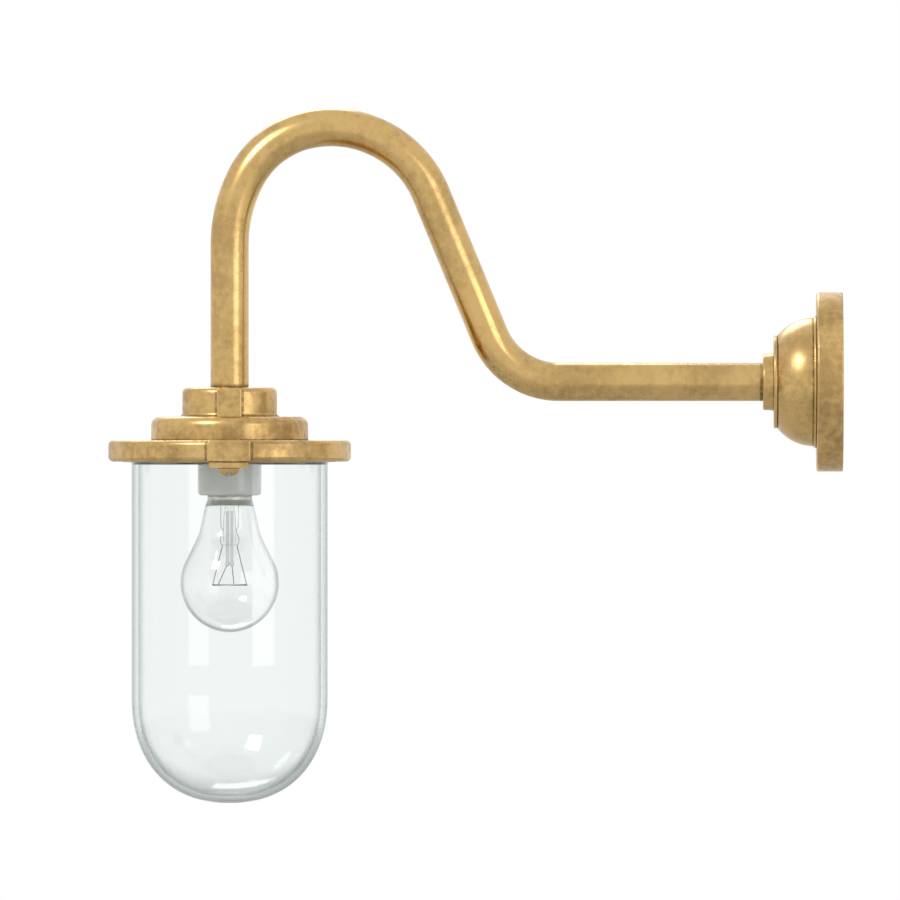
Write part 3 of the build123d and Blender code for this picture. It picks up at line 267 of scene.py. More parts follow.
place = begin("striped_skin")
x, _, _ = place.parts()
stripe = x.streaks(700, 0.0).rise(0.46, 0.54)
surface = {"Base Color": stripe.blend((0.04, 0.28, 0.06, 1), (0.78, 0.62, 0.05, 1))}
surface["Roughness"] = 0.45 + stripe * 0.05
dress(close(place, surface), "earth_core")


# ---- Rose cover ------------------------------------------------------------------------------
# The dome over the plate: sheet brass spun over a former, so that fine rings run round it, with
# its foot turned back on itself.
BEAD_R = 0.0404
BEAD_OUT = 0.0172
DOME_R = 0.0393
DOME_OUT = (0.0183, 0.0399)  # where the dome starts and ends, from the wall
UNDER_COLLAR = (0.0270, 0.0288)  # radii of the collar's edge on the dome

place = begin("spun_sheet_brass")
radius, depth_out = from_wall(place)
rings = (radius + depth_out * 0.7).streaks(1700, 4.0) * 0.75 + place.cloud(60) * 0.25
bead = radius.band(BEAD_R, 0.0007) * depth_out.band(BEAD_OUT, 0.0010)
# Painted shade: brown in the crease where the dome rises from its foot and in a ring under the
# collar's disc.
crease = radius.band(DOME_R, 0.0006) * depth_out.band(DOME_OUT[0], 0.0009)
under_disc = radius.within(*UNDER_COLLAR, 0.0008) * depth_out.band(DOME_OUT[1], 0.0012)
spun = aged_brass(place, rings, 0.00006, bead, crease + under_disc, dulling=0.7, polish=0.22)
dress(spun, "rose_cover")


# ---- Rose collar -----------------------------------------------------------------------------
# A turned brass collar that shuts the dome on the tube: a disc with a neck, held by a grub screw
# underneath.
DISC_R = 0.0282
DISC_OUT = 0.0422
NECK_R = 0.0171
NECK_OUT = 0.0487
NECK_ROOT = (0.0172, 0.0182)  # radii of the groove between neck and disc
COLLAR_MOUTH = (0.0117, 0.0124)  # radii of the gap between collar and tube

place = begin("turned_collar_brass")
radius, depth_out = from_wall(place)
rings = radius.streaks(1900, 3.0) * 0.5 + depth_out.streaks(1900, 3.0) * 0.5
corners = radius.band(DISC_R, 0.0007) * depth_out.band(DISC_OUT, 0.0008)
corners = corners + radius.band(NECK_R, 0.0007) * depth_out.band(NECK_OUT, 0.0008)
# Painted shade: brown in the groove between the neck and the disc and in the gap round the tube.
corner_shade_and_grime = radius.within(*NECK_ROOT, 0.0006) * depth_out.band(DISC_OUT, 0.0008)
corner_shade_and_grime = corner_shade_and_grime + radius.within(*COLLAR_MOUTH, 0.0004) * depth_out.band(NECK_OUT, 0.0006)
dress(aged_brass(place, rings, 0.00005, corners, corner_shade_and_grime, dulling=0.6, polish=0.21), "rose_collar")
dress(small_brass, "collar_grub_screw")


# ---- Bent tube -------------------------------------------------------------------------------
# Drawn brass tube, 23.4 mm across, bent cold round three formers into a swan neck and once more
# near the wall. It is polished along its length, which leaves long fine lines.
REACH = 0.374
TUBE_R = 0.01166
TUBE_BORE_R = 0.0101
TUBE_FOOT = -0.0261
TUBE_WALL_END = 0.0212
UPRIGHT_TOP = 0.084
NECK_BENDS = ((0.088, 28.3), (0.056, 49.7), (0.066, 79.6))
LOWER_BEND = 0.046


def arm_line():
    """Axis of the arm as rows of (Y, Z, heading): straight runs and arcs, laid end to end.
    An arc of a radius turns the heading evenly, and each step goes ahead by the chord."""
    at = np.array([-REACH, TUBE_FOOT])
    heading = math.pi / 2
    rows = [(*at, heading)]

    def ahead(length, turn, steps):
        nonlocal at, heading
        for _ in range(steps):
            half = turn / steps / 2
            chord = length / steps * (math.sin(half) / half if half else 1)
            at = at + chord * np.array([math.cos(heading + half), math.sin(heading + half)])
            heading += 2 * half
            rows.append((*at, heading))

    ahead(UPRIGHT_TOP - TUBE_FOOT, 0, steps=12)
    for radius, turn in NECK_BENDS:
        ahead(radius * math.radians(turn), -math.radians(turn), steps=2 * round(turn / 3))
    slope = -heading
    drop = at[1] - LOWER_BEND * (1 - math.cos(slope))
    ahead(drop / math.sin(slope), 0, steps=14)
    ahead(LOWER_BEND * slope, slope, steps=28)
    ahead(-TUBE_WALL_END - at[0], 0, steps=12)
    return np.array(rows)


SHARP = math.radians(38)  # faces that meet at more than this show an edge


def skin(name, grid, closed_along=False, along=None):
    """Mesh of a grid of points [row, column]: each cell is a face, the columns close on themselves,
    and rows that shrink to a point become poles. Its UV map has the column's share of the way
    round and the row's distance."""
    rows, columns = grid.shape[:2]
    last_row = rows if closed_along else rows - 1
    i, j = np.meshgrid(np.arange(last_row), np.arange(columns), indexing="ij")
    i, j = i.ravel(), j.ravel()
    this_row, next_row, next_j = i * columns, (i + 1) % rows * columns, (j + 1) % columns
    corners = [this_row + j, this_row + next_j, next_row + next_j, next_row + j]
    mesh = bpy.data.meshes.new(name)
    mesh.from_pydata(grid.reshape(-1, 3), [], np.stack(corners, axis=1))
    if along is not None:
        u = np.stack([j, j + 1, j + 1, j], axis=1) / columns
        v = np.stack([along[i], along[i], along[i + 1], along[i + 1]], axis=1)
        layer = mesh.uv_layers.new(name="lengthwise")
        layer.data.foreach_set("uv", np.stack([u, v], axis=2).astype(np.float32).ravel())
    shape = bmesh.new()
    shape.from_mesh(mesh)
    bmesh.ops.remove_doubles(shape, verts=shape.verts, dist=1e-7)
    bmesh.ops.recalc_face_normals(shape, faces=shape.faces)
    shape.to_mesh(mesh)
    shape.free()
    mesh.shade_smooth()
    mesh.set_sharp_from_angle(angle=SHARP)
    piece = bpy.data.objects.new(name, mesh)
    bpy.context.scene.collection.objects.link(piece)
    return piece


def finished(piece, material, body, slot, *replaced):
    """Gives a piece its material and its body, and hides the CAD nodes that it stands for. The slot
    is not used.
    """
    piece.data.materials.append(material)
    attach(piece, body)
    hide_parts(*replaced)
    return piece


def tube_rings(line, outer, inner, sides=96):
    """Ring section carried along the arm's axis. Each row's ring stands square to its heading, and
    the rows run out along the outside and back along the bore."""
    y, z, heading = line.T
    turn = np.linspace(0, 2 * np.pi, sides, endpoint=False)
    rings = []
    for radius, order in ((outer, slice(None)), (inner, slice(None, None, -1))):
        normal_y, normal_z = -np.sin(heading)[order], np.cos(heading)[order]
        ring = np.empty((len(line), sides, 3))
        ring[..., 0] = radius * np.sin(turn)
        ring[..., 1] = y[order][:, None] + radius * np.cos(turn) * normal_y[:, None]
        ring[..., 2] = z[order][:, None] + radius * np.cos(turn) * normal_z[:, None]
        rings.append(ring)
    return np.concatenate(rings)


line = arm_line()
step = np.hypot(*np.diff(line[:, :2], axis=0).T)
distance = np.concatenate([[0], np.cumsum(step)])
distance = np.concatenate([distance, distance[::-1], [0]])
rings = tube_rings(line, TUBE_R, TUBE_BORE_R)
tube = skin("arm_tube_drawn", rings, closed_along=True, along=distance)

HEAD_TOP = -0.0034
AT_HEAD = (HEAD_TOP, -0.0004)  # heights just over the head
UPRIGHT_FROM = (0.30, 0.31)  # distances from the wall past which only the upright run lies
AT_COLLAR = (0.0460, 0.0500)  # distances from the wall
LINES_ROUND, LINES_ALONG = 160.0, 9.0  # once round the tube, and to a metre of its length

place = begin("drawn_tube_brass")
around, travel, _ = place.output("UV").parts()
lines = {0: around * LINES_ROUND, 1: travel * LINES_ALONG}
long_lines = place.node("CombineXYZ", {}, lines)
marks = long_lines.cloud(1.0, 4.0) * 0.75 + place.cloud(50) * 0.25
handled = place.cloud(15, 4.0).rise(0.50, 0.68)
_, y, z = place.parts()
# Painted shade: brown on the tube where it goes into the collar and on the upright run where it
# goes into the head.
corner_shade_and_grime = (0 - y).within(*AT_COLLAR, 0.0012)
corner_shade_and_grime = corner_shade_and_grime + (0 - y).rise(*UPRIGHT_FROM) * (1 - z.rise(*AT_HEAD))
tube_brass = aged_brass(place, marks, 0.00004, handled, corner_shade_and_grime, dulling=0.65, polish=0.20)
finished(tube, tube_brass, "bracket", "tube_brass", "arm_tube")


# ---- Head ------------------------------------------------------------------------------------
# The cast head: a boss, a step and a broad ring in one brass casting, 148 mm across. The round
# faces are turned bright, and the ribs and lugs keep the fine grain of the sand.
def about_lamp(place):
    """Lines of a place measured from the lamp's axis: x, y, the height and the distance from it."""
    centred = place.node("Mapping", {}, {"Vector": place, "Location": (0, REACH, 0)})
    x, y, height = centred.parts()
    return x, y, height, x.length(y)


BOSS_R = 0.0282
BOSS_TOP = -0.0041
BOSS_FOOT = -0.0211
STEP_R = 0.0468
STEP_TOP = -0.0222
STEP_FOOT = -0.0357
RING_R = 0.0738
RING_TOP = -0.0359
RING_FOOT = -0.0484
ROUND_BOSS = (0.0288, 0.0306)  # radii of the corner round the boss's foot
ROUND_STEP = (0.0478, 0.0494)  # radii of the corner round the step's foot
ROUND_TUBE = (0.0117, 0.0128)  # radii of the corner round the tube
RIB_SIDE = 0.0074
RIB_FROM, RIB_TO = (0.0293, 0.0300), (0.0345, 0.0350)  # where the rib's edges start and end
RIB_CORNER, RIB_ROOT = (0.0076, 0.0086), (0.0265, 0.0292)  # beside the rib, and out along it
ABOVE_STEP = (-0.0222, -0.0210)
LUG_SIDE = 0.0130
LUG_FROM = (0.0745, 0.0752)
LUG_CORNER, LUG_ROOT = (0.0133, 0.0146), (0.0715, 0.0740)
LUG_FACE = -0.0487
CLIP_SIDES, CLIP_FROM = (0.0, 0.0120), (0.0600, 0.0620)

place = begin("head_casting_brass")
x, y, height, radius = about_lamp(place)
out, across = abs(x), abs(y)
turned_edges = height.band(RING_TOP, 0.0013) + height.band(RING_FOOT, 0.0011)
turned_edges = turned_edges * radius.band(RING_R, 0.0013)
turned_edges = turned_edges + radius.band(STEP_R, 0.0022) * height.band(STEP_TOP, 0.0022)
turned_edges = turned_edges + radius.band(BOSS_R, 0.0016) * height.band(BOSS_TOP, 0.0016)
lug_edges = across.band(LUG_SIDE, 0.0010) * out.rise(*LUG_FROM)
rib_edges = across.band(RIB_SIDE, 0.0008) * out.rise(*RIB_FROM) * (1 - out.rise(*RIB_TO))
# Painted shade: brown round the foot of the boss and of the step, beside the lugs and ribs, round
# the tube and over the clips.
corners = radius.within(*ROUND_BOSS, 0.0008) * height.band(BOSS_FOOT, 0.0016)
corners = corners + radius.within(*ROUND_STEP, 0.0008) * height.band(STEP_FOOT, 0.0014)
beside_lug = across.within(*LUG_CORNER, 0.0006) * out.within(*LUG_ROOT)
beside_rib = across.within(*RIB_CORNER, 0.0006) * out.within(*RIB_ROOT)
beside = beside_lug + beside_rib * height.rise(*ABOVE_STEP)
round_tube = radius.within(*ROUND_TUBE, 0.0006) * height.band(HEAD_TOP, 0.0006)
over_clip = across.within(*CLIP_SIDES, 0.0010) * radius.rise(*CLIP_FROM)
over_clip = over_clip * height.band(LUG_FACE, 0.0007)
corner_shade_and_grime = corners + beside * 0.7 + round_tube + over_clip
sand = place.cloud(1300, 4.0)
lathe_lines = radius.streaks(1500, 3.0) * 0.5 + height.streaks(1500, 3.0) * 0.5
marks = sand * 0.55 + lathe_lines * 0.45
worn = turned_edges + lug_edges + rib_edges
head_brass = aged_brass(place, marks, 0.00007, worn, corner_shade_and_grime, dulling=0.85, polish=0.27)
dress(head_brass, "head_casting")


# ---- Locknut ---------------------------------------------------------------------------------
# Hexagon nut on the tube's thread, tightened against the head's sleeve from below. Turned from
# brass bar.
NUT_CORNER_R = 0.0165

place = begin("nut_brass")
_, _, height, radius = about_lamp(place)
nut_marks = height.streaks(2600, 2.0)
nut_corners = radius.band(NUT_CORNER_R, 0.0010)
nut_brass = aged_brass(place, nut_marks, 0.00004, nut_corners, dulling=0.4, polish=0.25)
dress(nut_brass, "tube_locknut")


# ---- Well glass ------------------------------------------------------------------------------
# The deep glass: pressed clear glass with a flat lip, 120 mm across, 4 mm thick and heavy enough
# to show green in its edges, which also carry a painted dark green shade where seen edge on. It
# hangs on its lip in the head, under a rubber gasket.
WHITE = (1, 1, 1, 1)


def edge_shaded(place, low, high, edge_shade):
    """White glass that darkens to a painted edge shade where it is seen edge on."""
    facing = place.node("LayerWeight", {}, {"Blend": 0.5}).output("Facing")
    return facing.rise(low, high).blend(WHITE, edge_shade)


GREEN_EDGE_SHADE = (0.04, 0.075, 0.062, 1)
GREEN_DEPTH = (0.45, 0.66, 0.59, 1)

place = begin("pressed_clear_glass")
surface = {
    # Painted shade: the colour darkens to near-black green where the glass is seen edge on.
    "Base Color": edge_shaded(place, 0.58, 0.90, GREEN_EDGE_SHADE),
    "Roughness": 0.0,
    "IOR": 1.5,
    "Transmission Weight": 1.0,
    "Normal": place.relief(place.cloud(30, 2.0), 0.00003),
}
dress(close(place, surface, {"Color": GREEN_DEPTH, "Density": 30.0}), "well_glass")
dress(rubber, "glass_gasket")


# ---- Clips -----------------------------------------------------------------------------------
# Two brass plates under the lugs, each with a round toe under the glass's lip. Half a turn on
# their screws takes the toes off the lip and lets the glass down.
SCREW_AT = 0.074  # from the lamp's axis
SCREW_SEAT = -0.0524
CLIP_EDGE = -0.0523
CLIP_TOP = -0.0486
ROUND_SCREW = (0.0070, 0.0080)  # distances from the screw's axis

place = begin("clip_plate_brass")
x, y, height, _ = about_lamp(place)
sheet_marks = place.cloud(1500, 3.0)
outer_edge = height.band(CLIP_EDGE, 0.0005)
from_screw = (abs(x) - SCREW_AT).length(y)
# Painted shade: brown round the screw's head and along the clip's top, where it meets the lug.
round_screw = from_screw.within(*ROUND_SCREW, 0.0006) * height.band(SCREW_SEAT, 0.0005)
seats = round_screw + height.band(CLIP_TOP, 0.0008)
clip_brass = aged_brass(place, sheet_marks, 0.00005, outer_edge * 0.6, seats, 0.8, 0.27)
dress(clip_brass, "clip_front", "clip_back")


# ---- Clip screws -----------------------------------------------------------------------------
# Round-head slotted brass screws, driven from below through the clips into the lugs. The heads
# are turned and sawn, and the threads are cut.
SCREW_TOP = -0.0393
SCREW_HEAD_R = 0.0071
SCREW_HEAD_HIGH = 0.0054
SCREW_SLOT = 0.0026
SLOT_FLOOR = 0.0024
SLOT_LEVEL = (-0.0550, -0.0546)  # heights just under and over the slot's floor
SHANK_R = 0.00385
SHANK_PLAIN = 0.0034
SCREW_PITCH = 0.00125
SCREW_THREAD_DEPTH = 0.00062
SHANK_TIP = 0.93  # of the radius that the thread leaves there


def round_head(columns=48, rows=31):
    """Slotted dome as rows of chords across it. A row at y runs out on x to the circle of the head
    and comes back on its flat side, and the dome's depth at a point is that of a sphere through its
    rim and crown. Between the slot's two sides the depth is no more than the slot's floor."""
    ball = (SCREW_HEAD_R**2 + SCREW_HEAD_HIGH**2) / (2 * SCREW_HEAD_HIGH)
    half = SCREW_SLOT / 2
    lean = np.linspace(-np.pi / 2, np.pi / 2, rows)
    outside = SCREW_HEAD_R * np.sin(lean)
    below, above = outside[outside < -half], outside[outside > half]
    y = np.concatenate([below, [-half, -half, 0, half, half], above])
    in_slot = np.zeros(len(y), bool)
    in_slot[len(below) + 1 : len(below) + 4] = True
    share = np.sin(np.linspace(-np.pi / 2, np.pi / 2, columns))
    x = share * np.sqrt(np.maximum(SCREW_HEAD_R**2 - y**2, 0))[:, None]
    reach = np.minimum(x**2 + y[:, None] ** 2, SCREW_HEAD_R**2)
    deep = np.sqrt(ball**2 - reach) - (ball - SCREW_HEAD_HIGH)
    deep = np.where(in_slot[:, None], np.minimum(deep, SLOT_FLOOR), deep)
    domed = np.stack([x, np.broadcast_to(y[:, None], x.shape), -deep], axis=2)
    flat = domed[:, -2:0:-1] * (1, 1, 0)
    return np.concatenate([domed, flat], axis=1)


def cut_shank(columns=40, rows_per_turn=10):
    """Turned shank from the head up: its radius is plain, then that of a V thread, whose depth is
    a triangle wave of the height in pitches less the turn, and shrinks to a point at both ends."""
    top = SCREW_TOP - SCREW_SEAT
    height = np.arange(SHANK_PLAIN, top, SCREW_PITCH / rows_per_turn)
    height = np.concatenate([[0, 0], height, [top, top]])[:, None]
    turn = np.linspace(0, 2 * np.pi, columns, endpoint=False)
    phase = (height / SCREW_PITCH - turn / (2 * np.pi)) % 1
    wave = np.abs(2 * phase - 1)
    start = np.clip((height - SHANK_PLAIN) / SCREW_PITCH, 0, 1)
    radius = SHANK_R - SCREW_THREAD_DEPTH * wave * start
    radius[0] = radius[-1] = 0
    radius[-2] *= SHANK_TIP
    return np.stack([radius * np.cos(turn), radius * np.sin(turn), height + 0 * turn], axis=2)


def joined(name, parts):
    """One piece made of several, which are taken away."""
    merged = bmesh.new()
    for part in parts:
        merged.from_mesh(part.data)
        bpy.data.objects.remove(part)
    mesh = bpy.data.meshes.new(name)
    merged.to_mesh(mesh)
    merged.free()
    piece = bpy.data.objects.new(name, mesh)
    bpy.context.scene.collection.objects.link(piece)
    return piece


parts = []
for side in (-1, 1):
    spot = np.array((side * SCREW_AT, -REACH, SCREW_SEAT))
    parts += [skin("head", round_head() + spot), skin("shank", cut_shank() + spot)]

place = begin("turned_screw_brass")
_, y, height, _ = about_lamp(place)
# Painted shade: brown in the slot and round the head where it sits on the clip.
in_slot = y.within(-SCREW_SLOT / 2, SCREW_SLOT / 2, 0.0002) * (1 - height.rise(*SLOT_LEVEL))
corner_shade_and_grime = in_slot + height.band(SCREW_SEAT, 0.0008)
screw_marks = place.cloud(1600, 2.0)
screw_brass = aged_brass(place, screw_marks, 0.00003, 0.0, corner_shade_and_grime, dulling=0.45, polish=0.20)
finished(joined("clip_screws_cut", parts), screw_brass, "glass", "turned_brass", "clip_screws")


# ---- Lampholder strap ------------------------------------------------------------------------
# Flat strap of zinc-plated steel between the two posts in the head. The lampholder hangs from it,
# with screws from below at its ends and from above at its middle.
dress(zinc_steel, "holder_bracket", "bracket_screws", "holder_screws")


# ---- Lampholder body -------------------------------------------------------------------------
# White glazed porcelain, 39 mm across. Two brass pillars with a screw each stand in its top and
# take the cores, and a sprung brass leaf in its socket meets the bulb's tip.
BODY_R = 0.0190
BODY_FOOT = -0.0687
BISCUIT = (0.50, 0.44, 0.36, 1)  # the clay where the glaze is thin or pitted

place = begin("glazed_porcelain")
_, _, height, radius = about_lamp(place)
milk = place.cloud(70, 4.0).rise(0.30, 0.75)
pits = place.cloud(700, 2.0).rise(0.72, 0.80)
thin_glaze = radius.band(BODY_R, 0.0010) * height.band(BODY_FOOT, 0.0012)
colour = milk.blend((0.88, 0.87, 0.83, 1), (0.82, 0.80, 0.76, 1))
colour = (pits * 0.5 + thin_glaze * 0.25).blend(colour, BISCUIT)
surface = {"Base Color": colour, "Roughness": 0.12 + milk * 0.08 + pits * 0.3, "Coat Weight": 0.6}
surface["Normal"] = place.relief(place.cloud(180, 2.0), 0.00006)
dress(close(place, surface), "holder_body")
dress(small_brass, "holder_contact", "holder_terminals", "holder_terminal_screws")


# ---- Lampholder shell ------------------------------------------------------------------------
# The screw shell that lines the porcelain's socket and takes the bulb's cap: thin brass sheet with
# its thread rolled in, turned in at the top.
ROLLED_PITCH = 0.00362
ROW_STEP = 0.0003  # height of a row of points on a rolled thread
SHELL_MEAN_R = 0.01355
SHELL_WAVE = 0.00025
SHELL_WALL = 0.0003
SHELL_FOOT = -0.0658
SHELL_TOP = -0.0486
SHELL_TURN_IN = (
    (0.0138, SHELL_TOP),
    (0.0121, SHELL_TOP),
    (0.0121, SHELL_TOP - SHELL_WALL),
    (0.0134, SHELL_TOP - SHELL_WALL),
)


def rolled(height, turn, low, high):
    """How far a rolled thread stands off its crest, 0 to 1: a cosine of the height in pitches
    less the turn, which fades out over half a pitch at both ends."""
    wave = 0.5 - 0.5 * np.cos(2 * np.pi * height / ROLLED_PITCH - turn)
    fade = np.clip(np.minimum(height - low, high - height) * 2 / ROLLED_PITCH, 0, 1)
    return wave * fade


def turned_grid(radius, height, turn):
    """Points of a turned surface about the lamp's axis, from radius and height [row, column]."""
    radius, height = np.broadcast_arrays(radius, height + 0 * turn)
    x, y = radius * np.cos(turn), radius * np.sin(turn) - REACH
    return np.stack([x, y, height], axis=2)


def turned_profile(profile, turn):
    """Turned surface about the lamp's axis, one row for each (radius, height) of the profile."""
    radius, height = np.array(profile).T[:, :, None]
    return turned_grid(radius + 0 * turn, height, turn)


turn = np.linspace(0, 2 * np.pi, 120, endpoint=False)
height = np.arange(SHELL_FOOT, SHELL_TOP - 0.0005, ROW_STEP)[:, None]
inner = SHELL_MEAN_R + SHELL_WAVE * (1 - 2 * rolled(height, turn, SHELL_FOOT, SHELL_TOP))
outside = turned_grid(inner + SHELL_WALL, height, turn)
rim = turned_profile(SHELL_TURN_IN, turn)
inside = turned_grid(inner, height, turn)[::-1]
shell = skin("shell_rolled", np.concatenate([outside, rim, inside]), closed_along=True)

place = begin("rolled_shell_brass")
shell_brass = aged_brass(place, place.cloud(1500, 2.0), 0.00002, dulling=0.3, polish=0.18)
finished(shell, shell_brass, "bracket", "small_brass", "holder_shell")


# ---- Bulb cap --------------------------------------------------------------------------------
# The bulb's cap: thin nickel-plated sheet with a rolled thread, flared where it takes the glass
# and pricked in to grip it, with a black glass insulator and a soldered tip above.
CAP_R = 0.0131
CAP_WALL = 0.0004
CAP_EDGE = -0.0753
CAP_SHOULDER = -0.0534
CAP_CROWN = ((0.0111, -0.0520), (0.0107, -0.0524))
FLARE_AT = (CAP_EDGE, -0.0718, -0.0698, -0.0688)  # heights, and the radii there
FLARE_TO = (0.01495, 0.01355, 0.01355, CAP_R)
THREAD_FOOT = -0.0686
THREAD_TOP = -0.0540
ROLL_DEPTH = 0.0008
PRICKS = 8
PRICK_AT = -0.0705
PRICK_DEPTH = 0.00028
PRICK_HIGH = 0.00045
PRICK_WIDE = 0.0005

turn = np.linspace(0, 2 * np.pi, 144, endpoint=False)
skirt = np.arange(CAP_EDGE, THREAD_FOOT, 0.00033)
thread = np.arange(THREAD_FOOT, THREAD_TOP, ROW_STEP)
height = np.concatenate([skirt, thread, [CAP_SHOULDER]])[:, None]
plain = np.interp(height, FLARE_AT, FLARE_TO)
share = turn * PRICKS / (2 * np.pi) % 1
aside = np.minimum(share, 1 - share) * 2 * np.pi / PRICKS * CAP_R
pricked = np.exp(-(((height - PRICK_AT) / PRICK_HIGH) ** 2) - (aside / PRICK_WIDE) ** 2)
pressed_in = ROLL_DEPTH * rolled(height, turn, THREAD_FOOT, THREAD_TOP)
outer = plain - PRICK_DEPTH * pricked - pressed_in
outside = turned_grid(outer, height, turn)
crown = turned_profile(CAP_CROWN, turn)
inside = turned_grid(outer - CAP_WALL, height, turn)[::-1]
cap = skin("bulb_cap_rolled", np.concatenate([outside, crown, inside]), closed_along=True)

THREAD_ROOT = (0.0124, 0.0129)  # radii
THREAD_FROM = (-0.0688, -0.0680)  # heights
THREAD_ROOT_GREY = (0.20, 0.18, 0.15, 1)

place = begin("plated_cap")
_, _, height, radius = about_lamp(place)
haze = place.cloud(260, 4.0).rise(0.35, 0.75)
# The cap is darker grey in its thread's roots.
in_thread = (1 - radius.rise(*THREAD_ROOT)) * height.rise(*THREAD_FROM)
colour = haze.blend((0.74, 0.72, 0.67, 1), (0.58, 0.56, 0.52, 1))
colour = (in_thread * 0.4).blend(colour, THREAD_ROOT_GREY)
surface = {"Base Color": colour, "Metallic": 1.0, "Roughness": 0.42 + haze * 0.12}
surface["Normal"] = place.relief(place.cloud(1200), 0.00002)
finished(cap, close(place, surface), "bulb", "cap_metal", "bulb_cap")

place = begin("tip_solder")
lumps = place.cloud(420, 3.0)
colour = lumps.rise(0.35, 0.7).blend((0.50, 0.50, 0.50, 1), (0.33, 0.33, 0.34, 1))
surface = {"Base Color": colour, "Metallic": 1.0, "Roughness": 0.34 + lumps * 0.15}
surface["Normal"] = place.relief(lumps, 0.0003)
dress(close(place, surface), "bulb_contact")

place = begin("black_glass")
tone = place.cloud(400)
surface = {"Base Color": tone.blend((0.012, 0.010, 0.014, 1), (0.03, 0.026, 0.034, 1))}
surface["Roughness"] = 0.12 + tone * 0.1
dress(close(place, surface), "bulb_insulator")


# ---- Bulb ------------------------------------------------------------------------------------
# A pear-shaped bulb of thin clear glass, 60 mm across, blown and sealed to its stem. The blowing
# leaves it very slightly uneven.
GREY_EDGE_SHADE = (0.07, 0.075, 0.08, 1)

place = begin("thin_bulb_glass")
surface = {
    # Painted shade: the colour darkens to dark grey where the bulb is seen edge on.
    "Base Color": edge_shaded(place, 0.58, 0.92, GREY_EDGE_SHADE),
    "Roughness": 0.0,
    "IOR": 1.5,
    "Transmission Weight": 1.0,
    "Normal": place.relief(place.cloud(50, 2.0), 0.00003),
}
dress(close(place, surface), "bulb_glass")


# ---- Stem ------------------------------------------------------------------------------------
# The glass mount inside the bulb: a flared tube with a swollen foot, a thin tube inside it for the
# air that was drawn out, and two rods that end in buttons. Drawn glass, so its walls are thin.
STEM = (  # radii and heights, as for the air tube
    (0.0117, -0.0683), (0.0117, -0.0695), (0.0085, -0.0718), (0.0061, -0.0742),
    (0.0057, -0.0775), (0.0057, -0.0868), (0.0052, -0.0888), (0.0043, -0.0903),
    (0.0046, -0.0922), (0.0058, -0.0948), (0.0060, -0.0966), (0.0057, -0.0984),
    (0.0048, -0.0996), (0.0, -0.0998),
)
AIR_TUBE = (
    (0.0, -0.0684), (0.0027, -0.0684), (0.0027, -0.0763), (0.0038, -0.0843),
    (0.0038, -0.0962), (0.0034, -0.0972), (0.0, -0.0973),
)
ROD_R = 0.00085
BUTTON_R = 0.0014
ROD_SIDE = 0.00135
ROD_TOP = -0.0788
BUTTON_AT = -0.1110


def smoothed(profile, steps=6, columns=48):
    """Turned surface of a smooth profile: a cubic through the (radius, height) points, whose slope
    at a point is that from its neighbour before to its neighbour after."""
    points = np.array(profile)
    slopes = np.gradient(points, axis=0)
    t = np.linspace(0, 1, steps, endpoint=False)[:, None, None]
    start, end = points[:-1], points[1:]
    curve = (1 + 2 * t) * (1 - t) ** 2 * start + t * (1 - t) ** 2 * slopes[:-1]
    curve = curve + t * t * (3 - 2 * t) * end + t * t * (t - 1) * slopes[1:]
    curve = np.concatenate([curve.transpose(1, 0, 2).reshape(-1, 2), points[-1:]])
    curve[:, 0] = np.maximum(curve[:, 0], 0)
    return turned_profile(curve, np.linspace(0, 2 * np.pi, columns, endpoint=False))


def glass_rod(side, columns=24, ball_rows=14):
    """Turned surface of a rod with a button: a cylinder down to a ball, whose radius at a height
    is the half chord of the ball there."""
    turn = np.linspace(0, 2 * np.pi, columns, endpoint=False)
    lean = np.linspace(-math.pi / 2, math.acos(ROD_R / BUTTON_R), ball_rows)
    height = np.concatenate([BUTTON_AT + BUTTON_R * np.sin(lean), [ROD_TOP, ROD_TOP]])
    radius = np.concatenate([BUTTON_R * np.cos(lean), [ROD_R, 0]])
    rod = turned_profile(np.stack([radius, height], axis=1), turn)
    return rod + (0, side * ROD_SIDE, 0)


def thin_walled(name, clearest, edge):
    """Glass too thin to bend what lies behind it: nearly clear where it is seen square on, with
    small seeds in it, and a painted dark grey shade along its edges, where it is seen edge on."""
    place = begin(name)
    facing = place.node("LayerWeight", {}, {"Blend": 0.5}).output("Facing")
    seeds = place.cloud(900, 2.0).rise(0.70, 0.78)
    surface = {"Base Color": seeds.blend((0.10, 0.11, 0.115, 1), (0.30, 0.32, 0.33, 1))}
    surface["Roughness"] = 0.05 + seeds * 0.1
    # Painted shade: the dark grey shows more towards the edges as the alpha rises there.
    surface["Alpha"] = clearest + facing.rise(edge, 1.0) * 0.85
    return close(place, surface)


parts = [skin("flare", smoothed(STEM)), skin("air_tube", smoothed(AIR_TUBE))]
stem = joined("bulb_stem_drawn", parts)
finished(stem, thin_walled("drawn_stem_glass", 0.01, 0.45), "bulb", "bulb_glass", "bulb_stem")
rods = joined("bulb_stem_rods", [skin("rod", glass_rod(side)) for side in (-1, 1)])
finished(rods, thin_walled("drawn_rod_glass", 0.16, 0.20), "bulb", "bulb_glass", "bulb_stem")


# ---- Filament --------------------------------------------------------------------------------
# Tungsten wire wound into a fine coil and held in a half ring by its two leads and two finer
# supports, all of dull nickel wire.
FILAMENT_R = 0.0104
FILAMENT_LEVEL = -0.1238
COIL_R = 0.00033
COIL_WIRE_R = 0.00011
COIL_TURNS = 72


